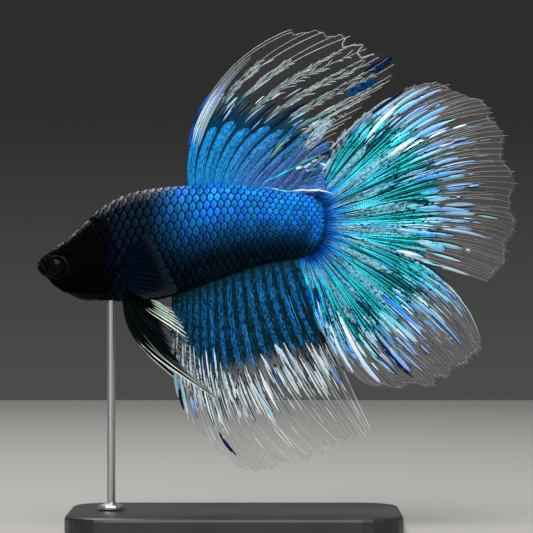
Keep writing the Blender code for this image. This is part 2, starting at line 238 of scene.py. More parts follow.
class Graph:
    """A small builder of shader nodes. Each method adds a node and returns its output socket."""

    def __init__(self, name: str, world: bool = False) -> None:
        """Starts a material with its Principled shader, or a world with its background."""
        self.material = (bpy.data.worlds if world else bpy.data.materials).new(name)
        self.material.use_nodes = True
        self.tree = self.material.node_tree
        self.shader = self.tree.nodes["Background" if world else "Principled BSDF"]

    def put(self, node: bpy.types.Node, index: Key, value: object) -> None:
        """Sets or links one input of a node."""
        socket = node.inputs[index]
        if isinstance(value, Output):
            self.tree.links.new(value, socket)
        elif isinstance(value, tuple) and len(value) == 3 and socket.type == "RGBA":
            socket.default_value = (*value, 1.0)
        else:
            socket.default_value = value

    def set(self, **inputs: object) -> None:
        """Sets inputs of the shader, with underscores for the spaces in their names."""
        for key, value in inputs.items():
            self.put(self.shader, key.replace("_", " "), value)

    def node(self, kind: str, inputs: dict[Key, object], output: Key = 0, **settings: object) -> Output:
        """Adds a node.

        Args:
            kind: The last part of its type's name.
            inputs: Values or sockets by input.
            output: Which output is wanted.
            settings: Its settings by name.

        Returns:
            That output.
        """
        node = self.tree.nodes.new("ShaderNode" + kind)
        for key, setting in settings.items():
            setattr(node, key, setting)
        for key, value in inputs.items():
            self.put(node, key, value)
        return node.outputs[output]

    def math(self, operation: str, *values: Socket) -> Output:
        """A Math node."""
        return self.node("Math", dict(enumerate(values)), operation=operation)

    def add(self, a: Socket, b: Socket) -> Output:
        """The sum a + b."""
        return self.math("ADD", a, b)

    def sub(self, a: Socket, b: Socket) -> Output:
        """The difference a - b."""
        return self.math("SUBTRACT", a, b)

    def mul(self, a: Socket, b: Socket) -> Output:
        """The product a * b."""
        return self.math("MULTIPLY", a, b)

    def step(self, value: Socket, low: Socket, high: Socket, kind: str = "SMOOTHSTEP") -> Output:
        """Smoothstep from 0 at low to 1 at high. With low above high it falls instead."""
        ends = {0: value, 1: low, 2: high, 3: 0.0, 4: 1.0}
        return self.node("MapRange", ends, interpolation_type=kind)

    def within(self, value: Socket, low: float, high: float, soft: float) -> Output:
        """1 between low and high, with soft ends that reach out by soft."""
        return self.mul(self.step(value, low - soft, low), self.step(value, high + soft, high))

    def around(self, value: Socket, reach: float, middle: Socket = 0.0) -> Output:
        """A value around 0.5, such as noise, moved to lie around middle and made reach times as wide."""
        return self.add(middle, self.mul(self.sub(value, 0.5), reach))

    def mix(self, share: Socket, a: object, b: object) -> Output:
        """Colour a where share is 0 and b where it is 1."""
        return self.node("Mix", {0: share, 6: a, 7: b}, 2, data_type="RGBA")

    def join(self, x: Socket, y: Socket, z: Socket = 0.0) -> Output:
        """A vector from three numbers."""
        return self.node("CombineXYZ", {0: x, 1: y, 2: z})

    def split(self, vector: Output) -> Sequence[Output]:
        """The three numbers of a vector."""
        return self.node("SeparateXYZ", {0: vector}).node.outputs

    def uv(self, name: str) -> Sequence[Output]:
        """The two coordinates of a UV map."""
        return self.split(self.node("UVMap", {}, uv_map=name))[:2]

    def attribute(self, name: str, colour: bool = False) -> Output:
        """A mesh attribute, as a number or a colour."""
        return self.node("Attribute", {}, "Color" if colour else "Fac", attribute_name=name)

    def place(self, kind: str = "Object") -> Output:
        """The point's own coordinates, in metres."""
        return self.node("TexCoord", {}, kind)

    def noise(self, vector: object, scale: float, detail: float = 2.0, rough: float = 0.5) -> Output:
        """Noise around 0.5."""
        return self.node("TexNoise", {"Vector": vector, "Scale": scale, "Detail": detail, "Roughness": rough})

    def grain(
        self, ray: Socket, v: Socket, across: float, along: float, detail: float = 2.0, rough: float = 0.5
    ) -> Output:
        """Noise over a fin, with this many grains to a ray number and to the whole length."""
        return self.noise(self.join(self.mul(ray, across), self.mul(v, along)), 1.0, detail, rough)

    def cells(self, vector: object, scale: float) -> Output:
        """Distance to the nearest cell centre."""
        return self.node("TexVoronoi", {"Vector": vector, "Scale": scale}, "Distance")

    def bump(self, height: Socket, reach: float, strength: float = 1.0) -> None:
        """Bends the shader's normal by a height, with reach in metres for a height of 1."""
        bump = self.node("Bump", {"Height": height, "Distance": reach, "Strength": strength})
        self.put(self.shader, "Normal", bump)


# ---------- the body


# Driving sections of the body, snout to tail: x, back, belly, half width.
SECTIONS = np.array(
    (
        (0.0, -0.3, -0.3, 0.0), (0.25, 0.7, -1.0, 0.65),
        (1.2, 1.75, -2.0, 1.35), (3.0, 2.95, -3.55, 2.15),
        (5.2, 4.5, -5.0, 2.85), (7.6, 6.7, -5.85, 3.4),
        (10.2, 9.1, -6.0, 3.85), (13.0, 10.9, -6.05, 4.2),
        (16.5, 12.3, -6.35, 4.35), (21.0, 13.0, -5.8, 4.2),
        (26.0, 13.4, -4.1, 3.75), (31.5, 13.6, -2.1, 3.15),
        (37.0, 13.0, -0.2, 2.45), (42.0, 12.2, 0.8, 1.75),
        (46.0, 11.7, 1.5, 1.1), (47.9, 10.9, 3.2, 0.8),
        (48.7, 7.6, 7.6, 0.0),
    )
)
HEAD_DISC = (5.9, 0.6, 7.6)  # x, z and radius of the round edge of the gill covers, seen from the side
EYE_CENTRE = (3.45, 1.97, -0.35)
EYE_RADII = (1.42, 0.8, 1.42)


class Body:
    """The body's outer form, as a surface over its length and the angle round it."""

    TABLE_SIZE = 2000

    def __init__(self) -> None:
        """Tables the sections along x."""
        self.shares = np.linspace(0.0, 1.0, self.TABLE_SIZE)
        table = blended(SECTIONS, self.shares)
        self.xs = np.maximum.accumulate(table[:, 0])
        self.back, self.belly, self.half = table[:, 1], table[:, 2], np.maximum(table[:, 3], 0.0)

    def section(self, x: Array) -> tuple[Array, Array, Array]:
        """Back, belly and half width at x."""
        return tuple(np.interp(x, self.xs, values) for values in (self.back, self.belly, self.half))

    def height(self, x: Array, z: Array) -> Array:
        """How high z is in the body at x, from 0 at the belly to 1 at the back."""
        back, belly, _ = self.section(x)
        return (z - belly) / np.maximum(back - belly, 1e-6)

    def surface(self, x: Array, angle: Array, lift: Array = 0.0) -> Array:
        """Points on the body's surface.

        Args:
            x: Distances behind the snout.
            angle: Angles round the body from the back, positive to its right.
            lift: How far out of the surface.

        Returns:
            One point for each x, in millimetres.
        """
        back, belly, half = self.section(x)
        middle, reach = (back + belly) / 2, (back - belly) / 2
        up, side = np.cos(angle), np.sin(angle)
        lean = np.gradient(self.back - self.belly, self.xs + np.arange(len(self.xs)) * 1e-9) / 2
        slope = np.interp(x, self.xs, lean)
        normal = np.stack([-slope, side / np.maximum(half, 0.2), up / np.maximum(reach, 0.2)], axis=1)
        normal[:, 0] *= np.abs(normal[:, 2]) + 0.1 * np.abs(normal[:, 1])
        normal /= np.linalg.norm(normal, axis=1)[:, None]
        base = np.stack([x, half * side, middle + reach * up], axis=1)
        return base + normal * np.broadcast_to(lift, x.shape)[:, None]

    def flank(self, x: Array, z: Array, grown: float = 0.0) -> Array:
        """How far the surface stands from the middle plane at x and z, or below 0 outside the body."""
        back, belly, half = self.section(x)
        middle, reach = (back + belly) / 2, (back - belly) / 2 + grown
        level = 1 - ((z - middle) / np.maximum(reach, 1e-6)) ** 2
        inside = (level > 0) & (x > self.xs[0] - grown) & (x < self.xs[-1] + grown)
        return np.where(inside, (half + grown) * np.sqrt(np.maximum(level, 0.0)), -1.0)


class Palette:
    """Colours that the skin and the scales share, as they lie over the body."""

    BLACK = np.array((0.0008, 0.0009, 0.0014))
    NIGHT = np.array((0.0004, 0.003, 0.01))
    DEEP = np.array((0.0005, 0.007, 0.014))
    ROYAL = np.array((0.001, 0.05, 0.24))
    AZURE = np.array((0.003, 0.148, 0.64))

    @classmethod
    def flank(cls, x: Array, height: Array) -> tuple[Array, Array]:
        """The body's colour and how strongly it shines blue, at x and at a height from belly to back. Both
        grow towards the back, partly as the fish's own blue and partly as painted light from above.
        """
        level = height + 0.004 * (x - 30.0)
        # Brighter with height: partly the fish's own blue, partly painted light from above that leaves the
        # lower flank in painted shade.
        bright = smooth(x, 16.5, 28.5) * smooth(level, 0.18, 0.84)
        bright = np.maximum(bright, smooth(x, 44.0, 47.5) * smooth(height, 0.0, 0.4))
        low = lerp(cls.NIGHT, cls.DEEP, smooth(x, 20.0, 36.0) * smooth(height, 0.4, 0.05))
        colour = lerp(low, cls.ROYAL, smooth(bright, 0.05, 0.75))
        colour = lerp(colour, cls.AZURE, smooth(bright, 0.55, 1.0) * (0.6 + 0.4 * smooth(x, 22.0, 38.0)))
        head = smooth(x, HEAD_DISC[0] + HEAD_DISC[2] + 0.5, HEAD_DISC[0] + HEAD_DISC[2] - 2.5)
        return lerp(colour, cls.BLACK, head), bright * (1 - head)

    @classmethod
    def back_highlight(cls, x: Array, height: Array) -> Array:
        """How far the line of the back, from the snout to the dorsal fin, is flecked with pale grey painted
        highlight, where light from above glints on the wet skin.
        """
        return smooth(height, 0.92, 0.985) * smooth(x, 0.2, 1.2) * smooth(x, 26.0, 19.0)


@dataclass
class Skin:
    """The one skin that covers head, jaw, gill covers, trunk and tail stalk.

    Attributes:
        depth: How far the skin lies inside the solids, to leave room for the scales.
        rings, sides: Facets along and round the body.
    """

    body: Body
    place: Place
    depth: float = 0.12
    rings: int = 300
    sides: int = 168
    mouth_tip: Pair = (0.0, 0.1)
    mouth_corner: Pair = (1.7, -1.35)
    nostrils: tuple[tuple[float, float, float], ...] = ((1.15, 0.75, 0.14), (2.05, 1.35, 0.11))

    def relief(self, points: Array) -> Array:
        """How far the folds of the face and the gill covers stand out of the plain form.

        Args:
            points: Points of the plain skin, in millimetres.

        Returns:
            One height for each point, in millimetres.
        """
        x, y, z = points.T
        tip, corner = np.array(self.mouth_tip), np.array(self.mouth_corner)
        along = corner - tip
        length = np.hypot(*along)
        run = ((x - tip[0]) * along[0] + (z - tip[1]) * along[1]) / length
        off = ((x - tip[0]) * -along[1] + (z - tip[1]) * along[0]) / length + 0.08 * run**2
        open_part = smooth(run, length + 0.3, length - 0.25)
        relief = -0.34 * bell(off, 0.1) * open_part
        relief += 0.14 * bell(np.abs(off) - 0.34, 0.2) * smooth(run, length + 0.2, length - 0.6)
        relief -= 0.07 * bell(np.abs(off) - 0.75, 0.14) * smooth(run, length + 0.4, length - 0.4)

        eye = np.hypot(x - EYE_CENTRE[0], z - EYE_CENTRE[2])
        relief += 0.12 * bell(eye - 1.68, 0.2)
        relief -= 0.07 * bell(eye - 2.15, 0.18)
        relief -= 0.75 * smooth(eye, 1.5, 1.32)
        for nose_x, nose_z, radius in self.nostrils:
            away = np.hypot(x - nose_x, z - nose_z)
            relief += 0.1 * bell(away - 1.5 * radius, 0.7 * radius)
            relief -= 0.22 * smooth(away, radius, 0.3 * radius)

        disc = np.hypot(x - HEAD_DISC[0], z - HEAD_DISC[1])
        behind_eye = smooth(x, 5.2, 7.0)
        cover = behind_eye * smooth(z, 6.6, 4.8)
        relief += 0.2 * smooth(disc, 5.4, 7.1) * smooth(disc, 7.62, 7.5) * cover
        relief -= 0.2 * bell(disc - 7.7, 0.14) * cover
        relief -= 0.1 * bell(disc - 5.0, 0.16) * cover * smooth(z, 3.6, 1.6)
        relief += 0.05 * bell(disc - 4.6, 0.25) * cover * smooth(z, 3.6, 1.6)
        under = smooth(z, -4.4, -5.2) * smooth(x, 3.4, 4.4) * smooth(disc, 7.7, 7.2)
        for fold in (0.55, 1.0, 1.45):
            relief -= 0.05 * bell(np.abs(y) - fold, 0.1) * under
        relief -= 0.16 * bell(y, 0.14) * smooth(z, -3.6, -4.8) * smooth(x, 2.6, 4.0) * smooth(x, 10.6, 8.0)
        return relief

    def build(self) -> Piece:
        """Makes the skin and its colours."""
        bm = bmesh.new()
        bm.loops.layers.uv.new(BAKE_MAP)
        bmesh.ops.create_uvsphere(bm, u_segments=self.sides, v_segments=self.rings, radius=1.0, calc_uvs=True)
        ball = vertex_points(bm)
        share = np.arccos(np.clip(ball[:, 2], -1.0, 1.0)) / math.pi
        angle = np.arctan2(ball[:, 1], ball[:, 0])
        x = np.interp(share, self.body.shares, self.body.xs)
        points = self.body.surface(x, angle, -self.depth)
        pole = np.hypot(ball[:, 0], ball[:, 1]) < 1e-4
        points[pole, 1] = 0.0
        plain = points.copy()
        relief = self.relief(plain)
        outward = self.body.surface(x, angle, 1.0) - self.body.surface(x, angle, 0.0)
        points += outward * relief[:, None]
        height = self.body.height(plain[:, 0], plain[:, 2])
        # colour and bright carry the flank's painted light from above as well as its own blue.
        colour, bright = Palette.flank(plain[:, 0], height)
        scaled = smooth(np.hypot(plain[:, 0] - HEAD_DISC[0], plain[:, 2] - HEAD_DISC[1]), 7.2, 8.2)
        under_scales = lerp(colour, colour * 0.2, scaled)
        looks = {
            "marks": under_scales,
            "blue": bright * scaled,
            # Pale grey flecks of painted highlight along the top of the back.
            "back_highlight": Palette.back_highlight(plain[:, 0], height),
        }
        skin = mesh_piece("skin", bm, self.place.world(points), attributes=looks)
        solids = ("head", "lower_jaw", "gill_cover_left", "gill_cover_right", "trunk", "tail_stalk")
        return finish_piece(skin, SkinFinish().material(), solids)


@dataclass(frozen=True)
class SkinFinish:
    """Moist, nearly black skin with fine pores, a bluish bloom and pale grey flecks of painted highlight
    along the top of the back.
    """

    pore_scale: float = 5200.0
    bloom: Colour = (0.002, 0.004, 0.007)
    # Pale grey of the painted highlight along the top of the back.
    highlight_colour: Colour = (0.3, 0.3, 0.29)

    def material(self) -> Material:
        """The node material."""
        g = Graph("moist_skin")
        at = g.place()
        mottle = g.noise(at, 900.0, 3.0, 0.6)
        colour = g.mix(g.mul(g.step(mottle, 0.5, 0.75), 0.4), g.attribute("marks", True), self.bloom)
        # Painted highlight: pale grey flecks along the top of the back, where light glints on the wet skin.
        flecks = g.mul(g.step(g.noise(at, 1500.0, 2.0, 0.6), 0.46, 0.6), g.attribute("back_highlight"))
        colour = g.mix(g.mul(flecks, 0.8), colour, self.highlight_colour)
        pits = g.cells(at, 1500.0)
        fine = g.noise(at, self.pore_scale, 2.0)
        g.set(Base_Color=colour, Specular_IOR_Level=0.045, Coat_Weight=0.0)
        g.set(Roughness=g.add(0.3, g.mul(mottle, 0.25)))
        g.bump(g.add(g.mul(pits, 0.9), g.mul(fine, 0.35)), 0.00006, 0.8)
        return g.material


# ---------- scales


@dataclass
class ScaleCoat:
    """Overlapping scales in slanting rows: each a dark plate with a bright shield on it.

    Attributes:
        front_pitch, back_pitch: Distance between scales at both ends of a row.
        thickness, lift: Of a plate, and how far its rear edge stands off the skin.
        rim_highlight, sheen: Colour of the painted highlight on a lit scale's rim, and of the painted sheen
            that an unlit one's has over its middle.
    """

    skin: Skin
    name: str = "scales"
    slot: str = "scales"
    replaces: tuple[str, ...] = ("trunk", "tail_stalk")
    on_head: bool = False
    rows: int = 14
    first_x: float = 9.6
    last_x: float = 48.4
    front_pitch: float = 1.42
    back_pitch: float = 0.92
    thickness: float = 0.06
    lift: float = 0.13
    seed: int = 11
    # Painted highlight on lit scales' rims, and faint painted sheen on unlit ones.
    rim_highlight: Colour = (0.03, 0.46, 0.95)
    sheen: Colour = (0.0, 0.004, 0.006)
    finish: "ScaleFinish" = field(default_factory=lambda: ScaleFinish())

    def columns(self) -> Array:
        """Where the scales of an even row stand along the body."""
        places = [self.first_x]
        while places[-1] < self.last_x:
            share = (places[-1] - self.first_x) / (self.last_x - self.first_x)
            places.append(places[-1] + self.front_pitch + (self.back_pitch - self.front_pitch) * share)
        return np.array(places)

    def layout(self) -> Array:
        """Every scale as a row of x, angle, half length, half width."""
        body = self.skin.body
        columns = self.columns()
        pitch = np.gradient(columns)
        found = []
        for side in (-1, 1):
            for row in range(self.rows):
                shift = 0.5 * (row % 2)
                x = np.interp(np.arange(len(columns)) + shift, np.arange(len(columns)), columns)[:-1]
                step = np.interp(x, columns, pitch)
                angle = self.even_angle(x, (row + 0.5) / self.rows)
                back, belly, half = body.section(x)
                girth = math.pi * np.sqrt(((back - belly) ** 2 / 4 + half**2) / 2)
                found.append(np.stack([x, side * angle, step, girth / self.rows], axis=1))
        layout = np.concatenate(found)
        points = body.surface(layout[:, 0], layout[:, 1])
        disc = np.hypot(points[:, 0] - HEAD_DISC[0], points[:, 2] - HEAD_DISC[1])
        behind_head = (disc > HEAD_DISC[2] + 0.2) | (layout[:, 0] > 14.5)
        if not self.on_head:
            return layout[behind_head & (layout[:, 0] < self.last_x)]
        eye = np.hypot(points[:, 0] - EYE_CENTRE[0], points[:, 2] - EYE_CENTRE[2])
        face = (eye > 2.35) & (points[:, 0] - 0.35 * points[:, 2] > 2.2) & (points[:, 2] > -4.6)
        return layout[face & ~behind_head & (np.abs(disc - HEAD_DISC[2] - 0.1) > 0.2)]

    def even_angle(self, x: Array, share: float) -> Array:
        """The angle that lies this share of the way round one side, measured along the skin."""
        angles = np.linspace(0.0, math.pi, 181)
        back, belly, half = self.skin.body.section(x)
        reach = (back - belly) / 2
        speed = np.sqrt((half[:, None] * np.cos(angles)) ** 2 + (reach[:, None] * np.sin(angles)) ** 2)
        run = np.cumsum(speed, axis=1)
        run = (run - run[:, :1]) / (run[:, -1:] - run[:, :1])
        return np.array([np.interp(share, line, angles) for line in run])

    def build(self) -> Piece:
        """Joins all the scales into one coat."""
        bm = bmesh.new()
        bmesh.ops.create_uvsphere(bm, u_segments=12, v_segments=4, radius=1.0)
        shell = vertex_points(bm)
        faces = np.array([[v.index for v in f.verts] + [-1] * (4 - len(f.verts)) for f in bm.faces])
        bm.free()
        body, layout = self.skin.body, self.layout()
        rng = np.random.default_rng(self.seed)
        count = len(layout)
        shade = rng.uniform(0.45, 1.4, count)
        hue = rng.uniform(0.0, 1.0, count)
        roots = body.surface(layout[:, 0], layout[:, 1])
        height = body.height(roots[:, 0], roots[:, 2])
        # colour and bright carry the flank's painted light from above as well as its own blue.
        colour, bright = Palette.flank(layout[:, 0], height)
        # The scales along the top of the back take the pale painted highlight too.
        back_highlight = Palette.back_highlight(layout[:, 0], height) * rng.uniform(0.2, 1.0, count)
        down = np.interp(layout[:, 0], body.xs, body.shares)
        unwrap = np.stack([layout[:, 1] / (2 * math.pi) + 0.5, down], axis=1)
        points, colours, shines, maps = [], [], [], []
        for shield in (False, True):
            points.append(self.shells(layout, shell, shield))
            if shield:
                lit = colour * shade[:, None] * (1 + 0.8 * (hue[:, None] - 0.5) * np.array((0.0, 1.0, -0.2)))
                # Painted highlight: each shield's rim, most of all its rear edge, is lighter than its middle,
                # and turns cyan where the flank is bright.
                rim = lerp(1.5 * lit + self.sheen, self.rim_highlight, 0.5 * bright)
                # Painted highlight: scales along the top of the back turn pale grey.
                rim = lerp(rim, np.array((0.5, 0.5, 0.48)), 0.9 * back_highlight)
                around = smooth(np.hypot(shell[:, 0], shell[:, 1]), 0.45, 0.9)
                share = 0.45 * around + 0.55 * smooth(shell[:, 0], 0.0, 0.95)
                values = lit[:, None] * (1 - share[None, :, None]) + rim[:, None] * share[None, :, None]
            else:
                values = np.repeat((colour * 0.1)[:, None], len(shell), axis=1)
            colours.append(values.reshape(-1, 3))
            shines.append(np.repeat(bright * (1.0 if shield else 0.3), len(shell)))
            patch = np.stack([shell[:, 0], shell[:, 1]], axis=1) * 0.0014
            offset = np.array((0.0, 0.004 if shield else 0.0))
            maps.append((unwrap[:, None] + patch[None] + offset).reshape(-1, 2))
        starts = np.arange(2 * count) * len(shell)
        everything = np.where(faces[None] >= 0, faces[None] + starts[:, None, None], -1).reshape(-1, 4)
        points = self.skin.place.world(np.concatenate(points))
        # blue follows bright, so it carries the painted light from above as well as the fish's own blue.
        looks = {"marks": np.concatenate(colours), "blue": np.concatenate(shines)}
        coat = array_piece(self.name, points, everything, {BAKE_MAP: np.concatenate(maps)}, looks)
        return finish_piece(coat, self.finish.material(self.name), self.replaces)

    def shells(self, layout: Array, shell: Array, shield: bool) -> Array:
        """Points of all the plates, or of all the shields that lie on them."""
        body = self.skin.body
        size = 0.74 if shield else 1.0
        along = np.sign(shell[:, 0]) * np.abs(shell[:, 0]) ** 1.25
        across = np.sign(shell[:, 1]) * np.abs(shell[:, 1]) ** 1.25
        reach = layout[:, 2:3] * 0.66 * size
        x = layout[:, 0:1] + reach * along[None] + layout[:, 2:3] * (0.12 if shield else 0.0)
        girth = layout[:, 3:4] * (0.64 if shield else 0.8)
        spread = np.maximum(self.arc_speed(layout[:, 0], layout[:, 1]), 0.3)[:, None]
        angle = layout[:, 1:2] + girth * across[None] / spread
        slope = (x - layout[:, 0:1]) / layout[:, 2:3]
        lift = self.lift * np.clip(0.5 + 0.7 * slope, 0.0, 1.3)
        lift = lift + shell[None, :, 2] * self.thickness * (0.7 if shield else 0.5)
        lift += (0.035 if shield else 0.0) - self.skin.depth
        lift += 0.02 * (1 - across[None] ** 2)
        if self.on_head:
            plain = body.surface(x.ravel(), angle.ravel(), -self.skin.depth)
            lift += self.skin.relief(plain).reshape(lift.shape)
        return body.surface(x.ravel(), angle.ravel(), lift.ravel())

    def arc_speed(self, x: Array, angle: Array) -> Array:
        """Length along the skin for one radian round the body."""
        back, belly, half = self.skin.body.section(x)
        return np.hypot(half * np.cos(angle), (back - belly) / 2 * np.sin(angle))


@dataclass(frozen=True)
class ScaleFinish:
    """Scales whose blue comes from a metallic reflection and from a colour that is partly painted light from
    above.
    """

    gloss: float = 0.03
    roughness: float = 0.36

    def material(self, name: str) -> Material:
        """The node material."""
        g = Graph(name)
        at = g.place()
        grain = g.noise(at, 5200.0, 2.0, 0.6)
        blue = g.attribute("blue")
        dark = g.mul(g.step(grain, 0.48, 0.64), g.mul(blue, 0.6))
        colour = g.mix(dark, g.attribute("marks", True), (0.001, 0.03, 0.16))
        g.set(Base_Color=colour, Metallic=g.mul(blue, 0.2), Specular_IOR_Level=self.gloss)
        g.set(Roughness=g.add(self.roughness, g.mul(grain, 0.16)))
        g.bump(grain, 0.00003, 0.6)
        return g.material


# ---------- eyes


@dataclass
class Eye:
    """One eyeball: a bulging cornea over a dark iris with a thin bright ring."""

    place: Place
    side: int

    FIT = 0.97  # of the socket's radius

    def build(self) -> Piece:
        """Makes the eye where its CAD node stands."""
        word = "left" if self.side < 0 else "right"
        bm = bmesh.new()
        bmesh.ops.create_uvsphere(bm, u_segments=64, v_segments=40, radius=1.0)
        ball = vertex_points(bm)
        outward = ball[:, 2]
        radius = np.hypot(ball[:, 0], ball[:, 1])
        bulge = 0.94 + 0.12 * smooth(radius, 0.8, 0.1) * (outward > 0)
        x = EYE_CENTRE[0] + EYE_RADII[0] * self.FIT * ball[:, 0]
        y = self.side * (EYE_CENTRE[1] + EYE_RADII[1] * outward * bulge)
        z = EYE_CENTRE[2] + EYE_RADII[2] * self.FIT * ball[:, 1]
        points = np.stack([x, y, z], axis=1)
        if self.side > 0:
            bmesh.ops.reverse_faces(bm, faces=bm.faces)
        looks = {"from_pupil": radius + (outward < 0)}
        eye = mesh_piece(f"eyeball_{word}", bm, self.place.world(points), attributes=looks)
        return finish_piece(eye, EyeFinish().material(), (f"eye_{word}",))


@dataclass(frozen=True)
class EyeFinish:
    """Black pupil, dark bronze iris with fine spokes, and a wet surface."""

    pupil: float = 0.5
    ring: Colour = (0.006, 0.006, 0.006)
    iris: Colour = (0.001, 0.0012, 0.0016)

    def material(self) -> Material:
        """The node material."""
        g = Graph("wet_eye")
        away = g.attribute("from_pupil")
        spokes = g.noise(g.place(), 4200.0, 3.0, 0.6)
        iris = g.mix(g.mul(g.step(spokes, 0.42, 0.7), 0.8), self.iris, (0.003, 0.003, 0.003))
        ring = g.within(away, self.pupil + 0.01, self.pupil + 0.05, 0.03)
        iris = g.mix(g.mul(ring, 0.75), iris, self.ring)
        iris = g.mix(g.step(away, 0.8, 0.92), iris, (0.003, 0.003, 0.004))
        colour = g.mix(g.step(away, self.pupil - 0.02, self.pupil + 0.02), (0.001, 0.001, 0.001), iris)
        g.set(Base_Color=colour, Roughness=0.25, Specular_IOR_Level=0.03)
        g.set(Coat_Weight=0.035, Coat_Roughness=0.06)
        return g.material


# ---------- fin surfaces


class Side(Enum):
    """A side of the fish, with the sign of y there."""

    LEFT = -1
    RIGHT = 1


@dataclass(frozen=True)
class FinShape:
    """The form of a fin, drawn from a few of its rays, front to back.

    Attributes:
        rays: Driving rays seen from the side: x and z of the root, directions there and at the tip in
            degrees, x and z of the tip.
        count: Number of webs, each between two bony rays.
        notch: How far the web falls short of the rays' tips, as a share of their length.
        sway, ruffle, waves, phase: Folds out of the fin's plane, which grow towards its margin.
        stands_out, side, turn: How far a paired fin's tips stand out, its sign of y, its turn to the rear.
        splits: Where along a ray its branches part.
        first: Ray number at the front edge. Bony rays stand at whole numbers.
        spread: How slowly branches draw apart.
    """

    rays: tuple[tuple[float, ...], ...]
    count: float
    notch: float = 0.025
    sway: float = 0.0
    ruffle: float = 0.0
    waves: float = 1.0
    phase: float = 0.0
    stands_out: float = 0.0
    side: float = 1.0
    turn: float = 0.0
    splits: tuple[float, ...] = (0.3, 0.55)
    first: float = 0.0
    spread: float = 0.8

    @property
    def last(self) -> float:
        """Ray number at the rear edge."""
        return self.first + self.count


class FinSurface:
    """A fin's middle surface, over a ray number and a share of the ray's length outside the body."""

    BEND_REACH = 0.36  # of a ray's length, how far each end keeps its direction
    PLEAT = 0.1
    ROOT_DEPTH = 0.3  # how far inside the body the fin starts
    STAND_OFF = 0.5  # how far a paired fin lies off the flank
    SAMPLES = 120
    HALVINGS = 18  # steps of the search for the place where a ray leaves the body
    RIPPLE = 0.16

    def __init__(self, shape: FinShape, body: Body) -> None:
        """Finds where each ray leaves the body."""
        self.shape = shape
        self.body = body
        self.table = np.array(shape.rays, float)
        self.samples = np.linspace(0.0, 1.0, self.SAMPLES)
        low, high = np.zeros(self.SAMPLES), np.full(self.SAMPLES, 0.5)
        for _ in range(0 if shape.stands_out else self.HALVINGS):
            middle = (low + high) / 2
            points = self.bent(self.samples, middle)
            inside = np.abs(points[:, 1]) < body.flank(points[:, 0], points[:, 2], -self.ROOT_DEPTH)
            low, high = np.where(inside, middle, low), np.where(inside, high, middle)
        self.starts = low

    def bent(self, share: Array, along: Array) -> Array:
        """Points of the surface over shares across the fin and along the whole ray curve."""
        shape = self.shape
        row = blended(self.table, share)
        root, tip = row[:, :2], row[:, 4:]
        ray = share * shape.count + shape.first
        fray = 0.006 * np.sin(7.3 * ray + 1.0) + 0.004 * np.sin(17.9 * ray)
        short = shape.notch * (0.5 - 0.5 * np.cos(2 * np.pi * ray)) + fray + 0.006
        tip = tip + (root - tip) * short[:, None]
        reach = self.BEND_REACH * np.linalg.norm(tip - root, axis=1)[:, None]
        leave, arrive = np.radians(row[:, 2]), np.radians(row[:, 3])
        start = root + reach * np.stack([np.cos(leave), np.sin(leave)], axis=1)
        end = tip - reach * np.stack([np.cos(arrive), np.sin(arrive)], axis=1)
        a, b = along[:, None], 1 - along[:, None]
        flat = b**3 * root + 3 * b**2 * a * start + 3 * b * a**2 * end + a**3 * tip
        fold = np.sin(2 * np.pi * (shape.waves * share + shape.phase))
        y = shape.sway * along**2 + shape.ruffle * np.maximum(along, 0.0) ** 1.5 * fold
        y += self.PLEAT * np.cos(2 * np.pi * ray) * np.sin(np.pi * np.minimum(along + 0.1, 1.0))
        ripple = np.sin(2.1 * ray + 9.0 * along) + 0.6 * np.sin(4.4 * ray - 13.0 * along + 1.0)
        y += (0.0 if shape.stands_out else self.RIPPLE) * along**2 * ripple
        if shape.stands_out:
            clear = -self.ROOT_DEPTH + (self.ROOT_DEPTH + self.STAND_OFF) * smooth(along, 0.0, 0.22)
            at_root = self.body.flank(root[:, 0], root[:, 1]) + clear
            here = self.body.flank(flat[:, 0], flat[:, 1]) + clear
            y += np.maximum(np.maximum(at_root, here), 0.0) + shape.stands_out * along
        return np.stack([flat[:, 0], y, flat[:, 1]], axis=1)

    def point(self, ray: Array, v: Array) -> Array:
        """Points over a ray number and a share of the ray's length outside the body, in millimetres.

        Past the first and the last ray the surface goes on straight.
        """
        ray, v = np.asarray(ray, float), np.asarray(v, float)
        within = np.clip(ray, self.shape.first, self.shape.last)
        points = self.inside(within, v)
        beyond = ray - within
        if np.any(beyond):
            inner = self.inside(within - 0.2 * np.sign(beyond), v)
            points += (points - inner) * np.abs(beyond / 0.2)[:, None]
        points[:, 1] *= self.shape.side
        if self.shape.turn:
            hinge_x, hinge_z = self.shape.rays[0][:2]
            x, z = points[:, 0] - hinge_x, points[:, 2] - hinge_z
            cos, sin = math.cos(self.shape.turn), math.sin(self.shape.turn)
            points[:, 0] = hinge_x + x * cos + z * sin
            points[:, 2] = hinge_z - x * sin + z * cos
        return points

    def inside(self, ray: Array, v: Array) -> Array:
        """Points between the first and the last ray, before a paired fin is turned."""
        share = (ray - self.shape.first) / self.shape.count
        start = np.interp(share, self.samples, self.starts)
        return self.bent(share, start + (1 - start) * v)

    def split_at(self, ray: float, level: int) -> float:
        """Where a ray parts for the next time. It differs a little from ray to ray."""
        return self.shape.splits[level] + 0.035 * math.sin(2.4 * ray + 1.3 * level)

    def lane(self, ray: float, turns: Sequence[int], v: Array) -> Array:
        """The ray number along one branch.

        Args:
            ray: Which bony ray.
            turns: For each parting so far, -1 for the front branch and 1 for the rear one.
            v: Shares of the length.

        Returns:
            The ray number at each share.
        """
        place = np.full(len(v), float(ray))
        for level, turn in enumerate(turns):
            split = self.split_at(ray, level)
            spread = np.clip((v - split) / (1 - split), 0.0, 1.0) ** self.shape.spread
            place += turn * 0.25 / 2**level * spread
        return np.clip(place, self.shape.first, self.shape.last)


